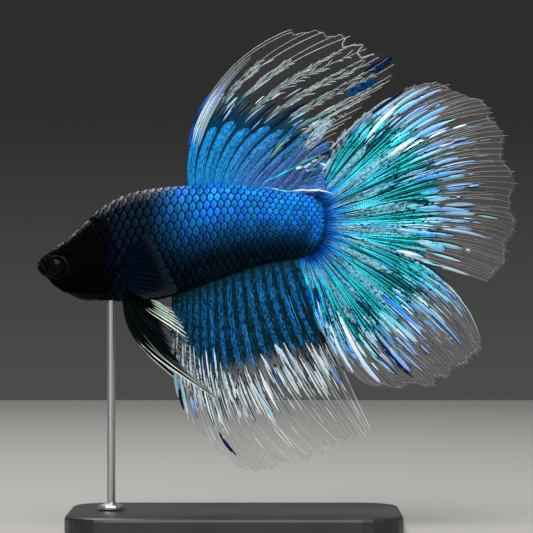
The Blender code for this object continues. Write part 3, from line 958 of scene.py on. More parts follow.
class BakePlan:
    """Lays a fin's points flat for its colour map: each place of the fin has one place on the map."""

    MARGIN = 0.01

    def __init__(self, surface: FinSurface) -> None:
        """Measures the fin."""
        rays = np.linspace(surface.shape.first - 0.3, surface.shape.last + 0.3, 60)
        ray, v = np.meshgrid(rays, np.linspace(-0.05, 1.03, 30))
        flat = surface.point(ray.ravel(), v.ravel())[:, (0, 2)]
        self.low = flat.min(axis=0)
        self.size = (flat.max(axis=0) - self.low).max() * (1 + 2 * self.MARGIN)

    def place(self, points: Array) -> Array:
        """Map places of points."""
        return (points[:, (0, 2)] - self.low) / self.size + self.MARGIN


# ---------- fin strands


@dataclass
class Strand:
    """One thin blade along a fin, as values at its rings.

    Attributes:
        ray, v: Its path.
        width, depth: Half width in the fin's plane and half thickness across it, in millimetres.
        shine: How metallic it is.
    """

    ray: Array
    v: Array
    width: Array
    depth: Array
    colour: Array
    shine: float


class Strands:
    """Joins many blades into one mesh. Each is a four-sided sphere drawn out along its path."""

    SIDES = 4

    def __init__(self, surface: FinSurface, plan: BakePlan, rings: int, rounded: bool) -> None:
        """Makes the template blade."""
        self.surface, self.plan, self.rings, self.rounded = surface, plan, rings, rounded
        bm = bmesh.new()
        bmesh.ops.create_uvsphere(bm, u_segments=self.SIDES, v_segments=rings, radius=1.0)
        ball = vertex_points(bm)
        self.faces = np.array([[v.index for v in f.verts] + [-1] * (4 - len(f.verts)) for f in bm.faces])
        bm.free()
        self.ring = np.rint(np.arccos(np.clip(ball[:, 2], -1, 1)) / math.pi * rings).astype(int)
        angle = np.arctan2(ball[:, 1], ball[:, 0])
        pole = (self.ring == 0) | (self.ring == rings)
        self.across = np.where(pole, 0.0, np.cos(angle))
        self.outward = np.where(pole, 0.0, np.sin(angle))
        self.t = (1 - np.cos(np.pi * np.arange(rings + 1) / rings)) / 2
        self.items: list[Strand] = []

    def blade(
        self, start: Pair, end: Pair, width: float, colours: Sequence[Colour], shine: float, depth: float,
        blunt: float, bend: float = 0.0,
    ) -> None:
        """Adds a lens-shaped blade between two places of the fin.

        Args:
            start, end: Ray number and share of length at its root and tip.
            width, depth: Half width and half thickness, in millimetres.
            colours: Colours from root to tip.
            shine: How metallic it is.
            blunt: Small for blunt ends, 1 for sharp ones.
            bend: How far it bows, in ray numbers.
        """
        t = self.t
        bow = 4 * t * (1 - t)
        profile = np.maximum(bow, 0.0) ** blunt
        ray = start[0] + (end[0] - start[0]) * t + bend * 4 * t * (1 - t)
        v = start[1] + (end[1] - start[1]) * t
        self.items.append(Strand(ray, v, width * profile, depth * profile, gradient(colours, t), shine))

    def arrays(self) -> tuple[Array, ...]:
        """Positions, colours, shine and ray coordinates of all vertices, blade by blade."""
        ray, v, width, depth, colour, shine = (
            np.stack([getattr(item, key) for item in self.items])
            for key in ("ray", "v", "width", "depth", "colour", "shine")
        )
        middle = self.surface.point(ray.ravel(), v.ravel()).reshape(*ray.shape, 3)
        along = np.gradient(middle, axis=1)
        lateral = np.stack([-along[..., 2], 0 * along[..., 0], along[..., 0]], axis=2)
        lateral /= np.maximum(np.linalg.norm(lateral, axis=2), 1e-9)[..., None]
        at = self.ring
        points = middle[:, at] + lateral[:, at] * (width[:, at] * self.across)[..., None]
        points[..., 1] += depth[:, at] * self.outward
        rays = np.stack([ray[:, at], v[:, at]], axis=2)
        tint = colour[:, at].reshape(-1, 3)
        return points.reshape(-1, 3), tint, np.repeat(shine, len(at)), rays.reshape(-1, 2)


def gradient(colours: Sequence[Colour], t: Array, places: Optional[Sequence[float]] = None) -> Array:
    """Colours at places from 0 to 1, or evenly spread there, read at t."""
    places = np.linspace(0.0, 1.0, len(colours)) if places is None else places
    return np.stack([np.interp(t, places, channel) for channel in np.array(colours, float).T], axis=1)


def join_strands(name: str, groups: Sequence[Strands], place: Place) -> Piece:
    """One mesh of all the blades of a fin.

    Args:
        name: The piece's name.
        groups: Blades, in groups that share a template.
        place: Where the fish stands.

    Returns:
        The piece, with colours, shine and maps.
    """
    parts, faces, rounded, start = [], [], [], 0
    for group in groups:
        if not group.items:
            continue
        arrays = group.arrays()
        each, count = len(group.ring), len(group.items)
        offsets = (start + np.arange(count) * each)[:, None, None]
        faces.append(np.where(group.faces[None] >= 0, group.faces[None] + offsets, -1).reshape(-1, 4))
        parts.append(arrays)
        rounded.append(np.full(len(faces[-1]), group.rounded))
        start += each * count
    points, colour, shine, rays = (np.concatenate(part) for part in zip(*parts))
    uvs = {BAKE_MAP: groups[0].plan.place(points), RAY_MAP: rays}
    looks = {"tint": colour, "shine": shine}
    return array_piece(name, place.world(points), np.concatenate(faces), uvs, looks, np.concatenate(rounded))


# ---------- fin webs


@dataclass(frozen=True)
class Patch:
    """A mottled spot on a web, round in ray numbers and shares of length.

    Attributes:
        middle, reach: Ray number and share of length of its middle, and half its size in both.
        colours: The two colours that it is mottled with.
        dots: How many black dots it has, from 0 to 1.
    """

    middle: Pair
    reach: Pair
    colours: tuple[Colour, Colour]
    dots: float = 0.0

    def mask(self, g: Graph, ray: Socket, v: Socket, rough: Socket) -> Socket:
        """1 on the spot and 0 around it, with an uneven edge."""
        across = g.math("POWER", g.math("DIVIDE", g.sub(ray, self.middle[0]), self.reach[0]), 2.0)
        along = g.math("POWER", g.math("DIVIDE", g.sub(v, self.middle[1]), self.reach[1]), 2.0)
        return g.step(g.around(rough, 1.6, g.add(across, along)), 1.05, 0.85)


@dataclass(frozen=True)
class WebLook:
    """How the web of a fin is coloured. Lengths run from 0 at the body to 1 at the margin.

    Attributes:
        root, band, dark, panel, outer: Colours at the root, beside the rays, between fine lines, midway
            between two rays, and of the clear margin.
        band_start, band_end: Half width of the band beside a ray at both ends of the panels.
        panel_end, inner_end: Where panels and colour end, at the front, middle and rear rays.
        ragged, soft: How unevenly and how softly the colour ends.
        speckle, mesh: How many black flecks and dark cells there are.
        root_share, uneven: How much the root's colour covers, and how much the panels differ.
        light, late: Colour of the panels' pale threads, and of the band past them.
        rear_panel, rear_from: What the panels turn to, and between which ray numbers.
        taper: Where along a panel it starts to narrow.
    """

    root: Colour
    band: Colour
    dark: Colour
    panel: Colour
    outer: Colour
    band_start: float = 0.14
    band_end: float = 0.32
    panel_end: tuple[float, float, float] = (0.5, 0.5, 0.5)
    inner_end: tuple[float, float, float] = (0.55, 0.55, 0.55)
    ragged: float = 0.3
    soft: float = 0.05
    lines: float = 6.0
    ticks: float = 60.0
    speckle: float = 0.5
    inner_alpha: float = 0.985
    outer_alpha: float = 0.08
    shine: float = 0.3
    gloss: float = 0.08
    root_share: float = 0.8
    uneven: float = 0.0
    light: Colour = (0.5, 0.62, 0.66)
    late: Optional[Colour] = None
    rear_panel: Optional[Colour] = None
    rear_from: Pair = (3.0, 8.0)
    taper: float = 0.75
    patches: tuple[Patch, ...] = ()
    mesh: float = 0.0

    def over_rays(self, g: Graph, ray: Socket, shape: FinShape, values: Sequence[float]) -> Socket:
        """A value that changes smoothly from the front rays over the middle ones to the rear ones."""
        front, middle, rear = values
        if front == middle == rear:
            return front
        half = shape.first + shape.count / 2
        early = g.mul(g.step(ray, shape.first, half), middle - front)
        late = g.mul(g.step(ray, half, shape.last), rear - middle)
        return g.add(front, g.add(early, late))

    def material(self, name: str, shape: FinShape) -> Material:
        """The web's node material, in ray coordinates."""
        g = Graph(name)
        ray, v = g.uv(RAY_MAP)
        ray = g.around(g.noise(g.join(ray, g.mul(v, 3.0)), 1.3), 0.12, ray)
        nearest = g.math("ROUND", ray)
        off = g.math("ABSOLUTE", g.sub(ray, nearest))
        streaky = g.grain(ray, v, 3.0, 2.2)
        fibre = g.grain(ray, v, 16.0, 5.0, 2.0, 0.6)
        mottle = g.grain(ray, v, 7.0, 30.0, 3.0, 0.65)
        wave = g.math("COSINE", g.mul(g.around(streaky, 0.25, ray), math.tau * self.lines))
        line = g.step(g.around(fibre, 1.4, g.mul(wave, 0.5)), -0.1, 0.5)
        tick = g.math("COSINE", g.mul(g.add(v, g.mul(nearest, 0.37)), math.tau * self.ticks))
        cell = g.step(g.around(mottle, 2.0, tick), -0.9, 0.1)
        lit = g.mix(g.step(v, 0.35, 0.56), self.band, self.late or self.band)
        band = g.mix(g.mul(line, g.add(0.35, g.mul(cell, 0.65))), self.dark, lit)
        chance = g.step(g.noise(g.mul(g.math("FLOOR", ray), 3.7), 1.0, 0.0), 0.3, 0.7)
        panel_end = self.over_rays(g, ray, shape, self.panel_end)
        panel_end = g.mul(panel_end, g.add(1 - self.uneven / 2, g.mul(chance, self.uneven)))
        run = g.math("DIVIDE", v, panel_end)
        edge = g.add(self.band_start, g.mul(g.step(run, 0.0, 1.0), self.band_end - self.band_start))
        narrowing = g.math("MAXIMUM", g.sub(run, self.taper), 0.0)
        edge = g.add(edge, g.mul(g.math("POWER", narrowing, 2.0), 0.25 / (1 - self.taper) ** 2))
        edge = g.add(edge, g.mul(g.sub(0.5, chance), 0.3 * self.uneven))
        rough_off = g.around(streaky, 0.1, off)
        panel_mask = g.step(rough_off, g.sub(edge, 0.025), g.add(edge, 0.025))
        smooth_part = self.panel
        if self.rear_panel:
            smooth_part = g.mix(g.step(ray, *self.rear_from), self.panel, self.rear_panel)
        deep = g.mix(0.72, smooth_part, self.dark)
        pale = g.mix(0.3, smooth_part, self.light)
        grain = g.grain(ray, v, 12.0, 46.0, 2.0, 0.7)
        panel = g.mix(g.step(g.add(g.mul(mottle, 0.4), g.mul(grain, 0.6)), 0.42, 0.54), deep, smooth_part)
        panel = g.mix(g.step(g.add(g.mul(fibre, 0.5), g.mul(grain, 0.5)), 0.5, 0.6), panel, pale)
        inner = g.mix(panel_mask, band, panel)
        rim = g.mul(g.step(rough_off, g.sub(edge, 0.07), g.sub(edge, 0.02)), g.sub(1.0, panel_mask))
        inner = g.mix(g.mul(rim, 0.85), inner, self.dark)
        if self.mesh:
            holes = g.grain(ray, v, 6.5, 38.0, 2.0, 0.6)
            inner = g.mix(g.mul(g.step(holes, 0.47, 0.56), self.mesh), inner, self.dark)
        inner = g.mix(g.mul(g.step(v, 0.12, 0.0), self.root_share), inner, self.root)
        flecks = g.step(g.cells(g.join(g.mul(ray, 9.0), g.mul(v, 80.0)), 1.0), 0.42, 0.25)
        often = 0.45 * self.speckle
        where = g.mul(g.step(v, 0.12, 0.4), g.step(fibre, 0.75 - often, 0.8 - often))
        inner = g.mix(g.mul(g.mul(flecks, where), min(1.0, 2 * self.speckle)), inner, (0.001, 0.003, 0.006))
        uneven = g.sub(g.add(g.mul(streaky, 0.4), g.mul(fibre, 0.6)), 0.5)
        end = g.add(self.over_rays(g, ray, shape, self.inner_end), g.mul(uneven, self.ragged))
        fade = g.step(v, g.sub(end, self.soft), g.add(end, self.soft))
        for patch in self.patches:
            mask = patch.mask(g, ray, v, mottle)
            spot = g.mix(g.step(g.add(g.mul(mottle, 0.5), g.mul(grain, 0.5)), 0.42, 0.56), *patch.colours)
            if patch.dots:
                often = 0.1 * patch.dots
                spot = g.mix(g.mul(g.step(grain, 0.62 - often, 0.66 - often), 0.9), spot, self.dark)
            inner = g.mix(mask, inner, spot)
            fade = g.mul(fade, g.sub(1.0, mask))
        g.set(Base_Color=g.mix(fade, inner, self.outer), Metallic=g.mul(g.sub(1.0, fade), self.shine))
        g.set(Alpha=g.add(self.inner_alpha, g.mul(fade, self.outer_alpha - self.inner_alpha)))
        g.set(Roughness=0.5, Specular_IOR_Level=self.gloss)
        g.bump(g.add(g.mul(line, 0.6), g.mul(fibre, 0.5)), 0.00005, 0.7)
        return g.material


@dataclass(frozen=True)
class StrandFinish:
    """Bony rays and streaks, banded by their joints."""

    ticks: float = 80.0
    ticks_end: float = 0.5
    contrast: float = 0.5
    gloss: float = 0.04

    def material(self, name: str) -> Material:
        """The node material: tinted by the piece's own colours."""
        g = Graph(name)
        ray, v = g.uv(RAY_MAP)
        tick = g.math("COSINE", g.mul(g.add(v, g.mul(g.math("ROUND", ray), 0.013)), math.tau * self.ticks))
        shine = g.attribute("shine")
        bony = g.mul(g.step(v, self.ticks_end, self.ticks_end - 0.2), g.step(shine, 0.06, 0.09))
        joint = g.mul(g.step(tick, -0.2, -0.9), bony)
        grain = g.grain(ray, v, 20.0, 160.0)
        darker = g.add(g.mul(joint, self.contrast), g.mul(g.step(grain, 0.5, 0.75), 0.25))
        colour = g.mix(darker, g.attribute("tint", True), (0.003, 0.02, 0.05))
        g.set(Base_Color=colour, Metallic=shine, Roughness=0.4, Specular_IOR_Level=self.gloss)
        g.bump(g.sub(1.0, joint), 0.00003, 0.6)
        return g.material


@dataclass(frozen=True)
class Mark:
    """One streak with a place of its own on a fin.

    Attributes:
        start, end, width, colours, blunt, shine, bend: As for a blade.
        edged: Whether it has a dark edge.
    """

    start: Pair
    end: Pair
    width: float
    colours: tuple[Colour, ...]
    blunt: float = 0.5
    shine: float = 0.0
    bend: float = 0.0
    edged: bool = True


@dataclass
class Fin:
    """A fin, named as its CAD node: a closed, very thin web with raised rays and streaks on both faces.

    Attributes:
        ray_widths: Half widths of a bony ray from root to tip, in millimetres.
        ray_colours: Places along the rays and their colours there.
        across, down: Facets of the web between two rays and along one.
    """

    name: str
    shape: FinShape
    look: WebLook
    body: Body
    place: Place
    slot: str = "fin_web"
    ray_widths: tuple[float, ...] = (0.15, 0.12, 0.09, 0.06, 0.04)
    ray_colours: tuple[tuple[float, Colour], ...] = ((0.0, (0.01, 0.05, 0.1)), (1.0, (0.2, 0.2, 0.2)))
    ray_shine: float = 0.2
    gloss: float = 0.04
    ray_end: float = 1.012
    web_thickness: float = 0.05
    across: int = 12
    down: int = 96
    seed: int = 5

    BONE_RINGS = 22
    BLADE_RINGS = 8
    BARB = ((0.16, 0.25, 0.28), (0.62, 0.72, 0.72))

    def __post_init__(self) -> None:
        """Sets up the surface and the two sorts of blades."""
        self.surface = FinSurface(self.shape, self.body)
        self.plan = BakePlan(self.surface)
        self.bones = Strands(self.surface, self.plan, self.BONE_RINGS, True)
        self.blades = Strands(self.surface, self.plan, self.BLADE_RINGS, False)
        self.rng = np.random.default_rng(self.seed)

    def build(self) -> None:
        """Makes the web and the rays."""
        self.web()
        self.rays()
        self.streaks()
        strands = join_strands(f"{self.name}_rays", (self.bones, self.blades), self.place)
        finish = StrandFinish(gloss=self.gloss)
        finish_piece(strands, finish.material(f"{self.name}_rays"), (self.name,))

    def web(self) -> Piece:
        """The web: two sheets that meet at the margin, each coloured in ray coordinates."""
        bm = bmesh.new()
        columns = round(self.shape.count * self.across)
        bmesh.ops.create_grid(bm, x_segments=columns, y_segments=self.down, size=1.0)
        copy = bmesh.ops.duplicate(bm, geom=bm.verts[:] + bm.edges[:] + bm.faces[:])["geom"]
        lower = [part for part in copy if isinstance(part, bmesh.types.BMFace)]
        bmesh.ops.reverse_faces(bm, faces=lower)
        upper_count = len(bm.verts) // 2
        bm.verts.ensure_lookup_table()
        for index, vert in enumerate(bm.verts):
            on_edge = max(abs(vert.co.x), abs(vert.co.y)) > 1 - 1e-5
            vert.co.z = 0.0 if on_edge else (1.0 if index < upper_count else -1.0)
        bmesh.ops.remove_doubles(bm, verts=bm.verts, dist=1e-6)
        flat = vertex_points(bm)
        ray = (flat[:, 0] + 1) / 2 * self.shape.count + self.shape.first
        v = (flat[:, 1] + 1) / 2
        points = self.surface.point(ray, v)
        points[:, 1] += flat[:, 2] * self.web_thickness / 2
        if self.faces_inwards(bm, points):
            bmesh.ops.reverse_faces(bm, faces=bm.faces)
        name = f"{self.name}_web"
        uvs = {BAKE_MAP: self.plan.place(points), RAY_MAP: np.stack([ray, v], axis=1)}
        web = mesh_piece(name, bm, self.place.world(points), uvs=uvs)
        return finish_piece(web, self.look.material(name, self.shape), (self.name,))

    def faces_inwards(self, bm: bmesh.types.BMesh, points: Array) -> bool:
        """Whether the shell with these points would be inside out, from the sign of its volume."""
        bm.verts.index_update()
        quads = np.array([[v.index for v in f.verts] for f in bm.faces if len(f.verts) == 4])
        a, b, c, d = (points[quads[:, k]] for k in range(4))
        volume = np.einsum("ij,ij->i", a, np.cross(b, c)) + np.einsum("ij,ij->i", a, np.cross(c, d))
        return volume.sum() < 0

    def rays(self) -> None:
        """All bony rays with their branches."""
        levels = len(self.shape.splits)
        for ray in range(math.ceil(self.shape.first), math.floor(self.shape.last) + 1):
            for level in range(levels + 1):
                for branch in range(2**level):
                    turns = [1 if branch >> k & 1 else -1 for k in range(level)]
                    self.branch(ray, turns, levels)

    def branch(self, ray: int, turns: Sequence[int], levels: int) -> None:
        """One branch, from where it parts from its neighbour to where it parts again."""
        level = len(turns)
        start = self.surface.split_at(ray, level - 1) - 0.01 if level else 0.0
        end = self.surface.split_at(ray, level) + 0.02 if level < levels else self.tip()
        v = start + (end - start) * self.bones.t
        width = np.interp(v, np.linspace(0, 1, len(self.ray_widths)), self.ray_widths)
        places, colours = zip(*self.ray_colours)
        colour = gradient(colours, v, places) * self.rng.uniform(0.8, 1.2)
        lane = self.surface.lane(ray, turns, v)
        self.bones.items.append(Strand(lane, v, width, 0.7 * width, colour, self.ray_shine))

    def tip(self) -> float:
        """Where a branch ends."""
        return self.ray_end + self.rng.uniform(-0.025, 0.008)

    def streaks(self) -> None:
        """Streaks and flecks that lie on the web. A plain fin has none."""

    def lanes(self, count: int, rays: Optional[Pair], chance: float) -> Iterator[float]:
        """The lanes that are filled.

        Args:
            count: Lanes between two rays.
            rays: First and last ray number, where they don't cover the whole fin.
            chance: Share of lanes that are filled.

        Yields:
            The ray number of each.
        """
        low, high = rays or (self.shape.first, self.shape.last)
        for lane in np.arange(low + 0.5 / count, high, 1 / count):
            if self.rng.random() <= chance:
                yield lane

    def strew(
        self, count: int, start: Pair, length: Pair, width: Pair,
        colours: Sequence[tuple[Colour, Colour]], chance: float = 1.0, rays: Optional[Pair] = None,
        shine: float = 0.35, blunt: float = 0.5, outline: bool = False,
    ) -> None:
        """Streaks in narrow lanes along the fin.

        Args:
            count, chance, rays: As for lanes.
            start, length, width: Least and most share of length at its start, length and half width.
            colours: Pairs of root and tip colours to draw from.
            shine: How metallic it is.
            blunt: Small for blunt ends.
            outline: Sets each streak on a slightly wider dark one.
        """
        for lane in self.lanes(count, rays, chance):
            v = self.rng.uniform(*start)
            end = min(v + self.rng.uniform(*length), 0.985)
            pair = colours[self.rng.integers(len(colours))]
            drift = self.rng.uniform(-0.25, 0.25) / count
            half_width = self.rng.uniform(*width)
            self.blades.blade((lane, v), (lane + drift, end), half_width, pair, shine, 0.075, blunt)
            if outline:
                self.outline((lane, v), (lane + drift, end), half_width, blunt)

    def dashes(
        self, count: int, start: Pair, end: Pair, length: Pair, width: Pair,
        rows: Sequence[Sequence[Colour]], chance: float,
    ) -> None:
        """Broken streaks that run out towards the margin, narrower and paler as they go.

        Args:
            count, chance: As for lanes.
            start, end: Least and most share of length at which a row starts and ends.
            length, width: Least and most length of a dash, and half width at the row's start.
            rows: Colours along a row, one of which is drawn for each lane.
        """
        for lane in self.lanes(count, None, chance):
            lane += self.rng.uniform(-0.2, 0.2) / count
            row = rows[self.rng.integers(len(rows))]
            first, last = self.rng.uniform(*start), self.rng.uniform(*end)
            half_width = self.rng.uniform(*width)
            v = first
            while v < last:
                stop = min(v + self.rng.uniform(*length), last + 0.02)
                share = np.clip((np.array((v, stop)) - first) / (last - first), 0.0, 1.0)
                colours = gradient(row, share) * self.rng.uniform(0.7, 1.25)
                half = half_width * self.rng.uniform(0.7, 1.1) * (1 - 0.55 * share[0])
                drift = lane + self.rng.uniform(-0.12, 0.12) / count
                self.blades.blade((lane, v), (drift, stop), half, colours, 0.3, 0.075, 0.6)
                if self.rng.random() < 0.5:
                    self.outline((lane, v), (drift, stop), half, 0.6)
                v = stop + self.rng.uniform(0.004, 0.03)

    def flecks(self, count: int, reach: Pair, rays: Pair, size: Pair) -> None:
        """Black flecks that lie over everything else.

        Args:
            count: How many.
            reach, rays: Least and most share of length and ray number.
            size: Least and most half width.
        """
        for _ in range(count):
            ray, v = self.rng.uniform(*rays), self.rng.uniform(*reach)
            half_width = self.rng.uniform(*size)
            end = v + self.rng.uniform(0.008, 0.024)
            self.blades.blade((ray, v), (ray, end), half_width, (INK, INK), 0.0, 0.125, 0.45)

    def outline(self, start: Pair, end: Pair, width: float, blunt: float) -> None:
        """A dark blade under a streak that shows along one of its edges."""
        near = self.surface.point((start[0] - 0.1, start[0] + 0.1), (start[1], start[1]))
        shift = self.rng.choice((-1, 1)) * 0.2 * 0.07 / max(float(np.linalg.norm(near[1] - near[0])), 0.05)
        low, high = (start[0] + shift, start[1] - 0.008), (end[0] + shift, end[1] + 0.006)
        colour = INK if self.rng.random() < 0.6 else NAVY
        self.blades.blade(low, high, width + 0.03, (colour, colour), 0.0, 0.055, blunt)

    def hem(self, rays: Pair, v: float, width: float, colour: Colour, wave: float, chance: float = 1) -> None:
        """A thin line along the margin.

        Args:
            rays: First and last ray number.
            v: Share of length at which it lies.
            width, colour: Its half width and colour.
            wave: How far it winds, in shares of length.
            chance: Share of its length that is there.
        """
        step = 0.1
        for ray in np.arange(*rays, step):
            if self.rng.random() > chance:
                continue
            low, high = (v + wave * (math.sin(9.0 * r) + 0.6 * math.sin(23.0 * r)) for r in (ray, ray + step))
            tone = np.array(colour) * self.rng.uniform(0.7, 1.2)
            self.blades.blade((ray, low), (ray + 1.2 * step, high), width, (tone, tone), 0.0, 0.06, 0.25)

    def marks(self, table: Sequence[Mark]) -> None:
        """Single streaks, each with its own place."""
        for mark in table:
            ends = mark.start, mark.end, mark.width
            self.blades.blade(*ends, mark.colours, mark.shine, 0.11, mark.blunt, mark.bend)
            if mark.edged:
                self.outline(*ends, mark.blunt)

    def trail(self, path: Sequence[Pair], width: float, colours: Sequence[Colour]) -> None:
        """A streak through several places, each a ray number and a share of length."""
        t = self.bones.t
        ray, v = (np.interp(t, np.linspace(0, 1, len(path)), column) for column in zip(*path))
        profile = np.maximum(4 * t * (1 - t), 0.0) ** 0.4
        self.bones.items.append(Strand(ray, v, width * profile, 0.12 * profile, gradient(colours, t), 0.0))

    def bundle(
        self, start: Pair, end: Pair, spread: Pair, count: int, colours: Sequence[Colour], width: float = 0.13
    ) -> None:
        """Thin streaks side by side that read as one soft, ribbed band.

        Args:
            start, end: Ray number and share of length of the band's two ends.
            spread: Its width there, in ray numbers.
            count: How many streaks.
            colours: Colours from start to end.
            width: A streak's half width.
        """
        for step in np.linspace(-0.5, 0.5, count):
            tone = self.rng.uniform(0.6, 1.1)
            shift = self.rng.uniform(-0.05, 0.05, 2)
            low = (start[0] + step * spread[0], start[1] + shift[0])
            high = (end[0] + step * spread[1], end[1] + shift[1])
            half_width = width * self.rng.uniform(0.7, 1.2)
            self.blades.blade(low, high, half_width, np.array(colours) * tone, 0.0, 0.07, 0.4)

    def barbs(
        self, path: Sequence[float], reach: Pair, step: float, length: float, lean: float,
        sides: Sequence[int] = (-1, 1), width: float = 0.1,
    ) -> None:
        """Barbs beside a ray, as on a feather.

        Args:
            path: Ray numbers at evenly spread places over reach.
            reach: Where the barbs start and end along the ray.
            step: Distance between barbs, in shares of length.
            length, lean: A barb's run along the ray, and across it in ray numbers.
            sides: -1 for the front side and 1 for the rear one.
            width: A barb's half width.
        """
        for place in np.arange(*reach, step):
            for side in sides:
                if self.rng.random() < 0.18:
                    continue
                v = place + self.rng.uniform(0, step)
                share = min((v - reach[0]) / (reach[1] - reach[0]), 1.0)
                root = float(np.interp(share, np.linspace(0, 1, len(path)), path))
                size = self.rng.uniform(0.6, 1.25) * (1 - 0.35 * share)
                colours = np.array(self.BARB) * self.rng.uniform(0.45, 1.15)
                tip = (root + side * lean * size, v + length * size)
                self.blades.blade((root, v), tip, width, colours, 0.1, 0.06, 0.6, -0.1 * side * lean)


# ---------- the fins


WHITE = (0.85, 0.93, 0.88)
PALE = (0.52, 0.72, 0.84)
ICE = (0.27, 0.72, 0.9)
SKY = (0.13, 0.5, 1.0)
PERIWINKLE = (0.24, 0.44, 0.98)
LILAC = (0.3, 0.42, 0.7)
AZURE = (0.015, 0.3, 0.9)
COBALT = (0.006, 0.12, 0.62)
NAVY = (0.001, 0.015, 0.07)
CYAN = (0.04, 0.8, 0.98)
TURQUOISE = (0.015, 0.62, 0.68)
SEA = (0.003, 0.22, 0.24)
TEAL = (0.001, 0.045, 0.065)
INK = (0.0005, 0.002, 0.005)
GREY = (0.17, 0.17, 0.165)
LEAF = (0.16, 0.42, 0.2)
SHADE = (0.03, 0.13, 0.4)


class DorsalFin(Fin):
    """The tall fin on the back: azure panels, a dark zone, and a clear outer part with feathered rays."""

    MARKS = (
        Mark((0.02, 0.2), (-0.02, 0.5), 0.36, (COBALT, NAVY, COBALT), 0.6, bend=-0.1, edged=False),
        Mark((6.65, 0.22), (6.2, 0.4), 0.24, (LEAF, (0.2, 0.42, 0.14), SEA), 0.6, bend=0.05),
        Mark((6.3, 0.32), (6.02, 0.72), 0.2, (SEA, TEAL, SEA, PALE), 0.6),
        Mark((6.42, 0.27), (5.45, 0.5), 0.42, (SHADE, (0.02, 0.16, 0.48), (0.006, 0.2, 0.5)), 0.4, 0.3),
        Mark((10.25, 0.4), (10.6, 0.52), 0.3, (WHITE, PALE), 0.35),
        Mark((10.7, 0.52), (11.0, 0.66), 0.34, (PALE, WHITE), 0.35, bend=0.1, edged=False),
        Mark((11.0, 0.68), (11.35, 0.84), 0.32, (WHITE, ICE, WHITE), 0.35, bend=-0.1),
        Mark((11.45, 0.86), (11.9, 1.0), 0.28, (ICE, WHITE), 0.35, edged=False),
        Mark((11.3, 0.56), (11.7, 0.8), 0.2, (ICE, (0.1, 0.4, 0.6)), 0.35, bend=0.1, edged=False),
    )

    def streaks(self) -> None:
        """The single marks, then pale and dark blades beyond the panels, then feathers."""
        self.marks(self.MARKS)
        self.trail(
            ((7.85, 0.04), (9.1, 0.21), (9.8, 0.35), (10.26, 0.485), (10.6, 0.66), (10.87, 0.836)),
            0.2,
            (AZURE, CYAN, TURQUOISE, SEA, TURQUOISE, PALE),
        )
        self.trail(
            ((8.2, 0.03), (10.2, 0.05), (11.57, 0.065), (12.3, 0.2), (12.8, 0.45), (13.0, 0.9), (13.05, 1.3)),
            0.2,
            (AZURE, ICE, TURQUOISE, PALE, WHITE, PALE, ICE),
        )
        self.trail(((12.4, 0.0), (13.2, 0.3), (13.5, 0.7), (13.4, 1.3)), 0.36, (COBALT, NAVY, NAVY, COBALT))
        veil = ((0.3, 0.5, 0.62), (0.4, 0.58, 0.66), LILAC, GREY, GREY)
        self.bundle((0.6, 0.25), (0.3, 0.72), (0.75, 0.16), 9, veil)
        self.bundle((0.5, 0.22), (0.45, 0.5), (0.8, 0.5), 6, (PALE, (0.6, 0.78, 0.8), PALE), 0.15)
        self.hem((0.2, 2.3), 0.985, 0.055, (0.34, 0.33, 0.32), 0.002, 0.9)
        self.hem((2.2, 3.9), 0.975, 0.1, (0.5, 0.46, 0.45), 0.012)
        pale = ((LILAC, PALE), ((0.12, 0.17, 0.36), PALE), (PALE, WHITE))
        dark = ((INK, TEAL), (NAVY, INK), (TEAL, TEAL))
        self.strew(6, (0.28, 0.42), (0.1, 0.22), (0.12, 0.24), dark, 0.85, (0.9, 7.2), 0.0)
        self.strew(3, (0.31, 0.44), (0.08, 0.16), (0.12, 0.24), pale, 0.75, (1.0, 6.2), 0.0, 0.6)
        self.strew(3, (0.42, 0.62), (0.06, 0.12), (0.08, 0.15), pale, 0.6, (1.0, 7.5), 0.0, 0.7)
        self.strew(2, (0.02, 0.08), (0.14, 0.26), (0.06, 0.11), ((TEAL, INK),), 0.95, (0.25, 8.0), 0.0)
        self.flecks(60, (0.1, 0.8), (10.0, 12.6), (0.06, 0.13))
        self.flecks(30, (0.31, 0.56), (6.9, 8.4), (0.06, 0.12))
        self.flecks(16, (0.55, 0.8), (7.4, 9.6), (0.05, 0.1))
        self.flecks(14, (0.77, 0.9), (5.2, 5.75), (0.07, 0.13))
        for ray in range(1, 8):
            reach = (0.38 + 0.03 * (ray % 3), 0.86 if ray > 2 else 0.68)
            v = np.linspace(*reach, 12)
            for turn in (-1, 1):
                self.barbs(self.surface.lane(ray, (turn,), v), reach, 0.034, 0.085, 0.2, width=0.075)
        self.barbs((6.25, 6.1, 6.0), (0.44, 0.78), 0.03, 0.07, 0.42, (-1, 1), 0.1)
        self.barbs((6.9, 7.3, 7.6), (0.52, 0.86), 0.04, 0.09, 0.5, (1,))
        self.barbs((10.3, 10.6, 10.87), (0.42, 0.84), 0.045, 0.09, 0.3, (-1,), 0.1)


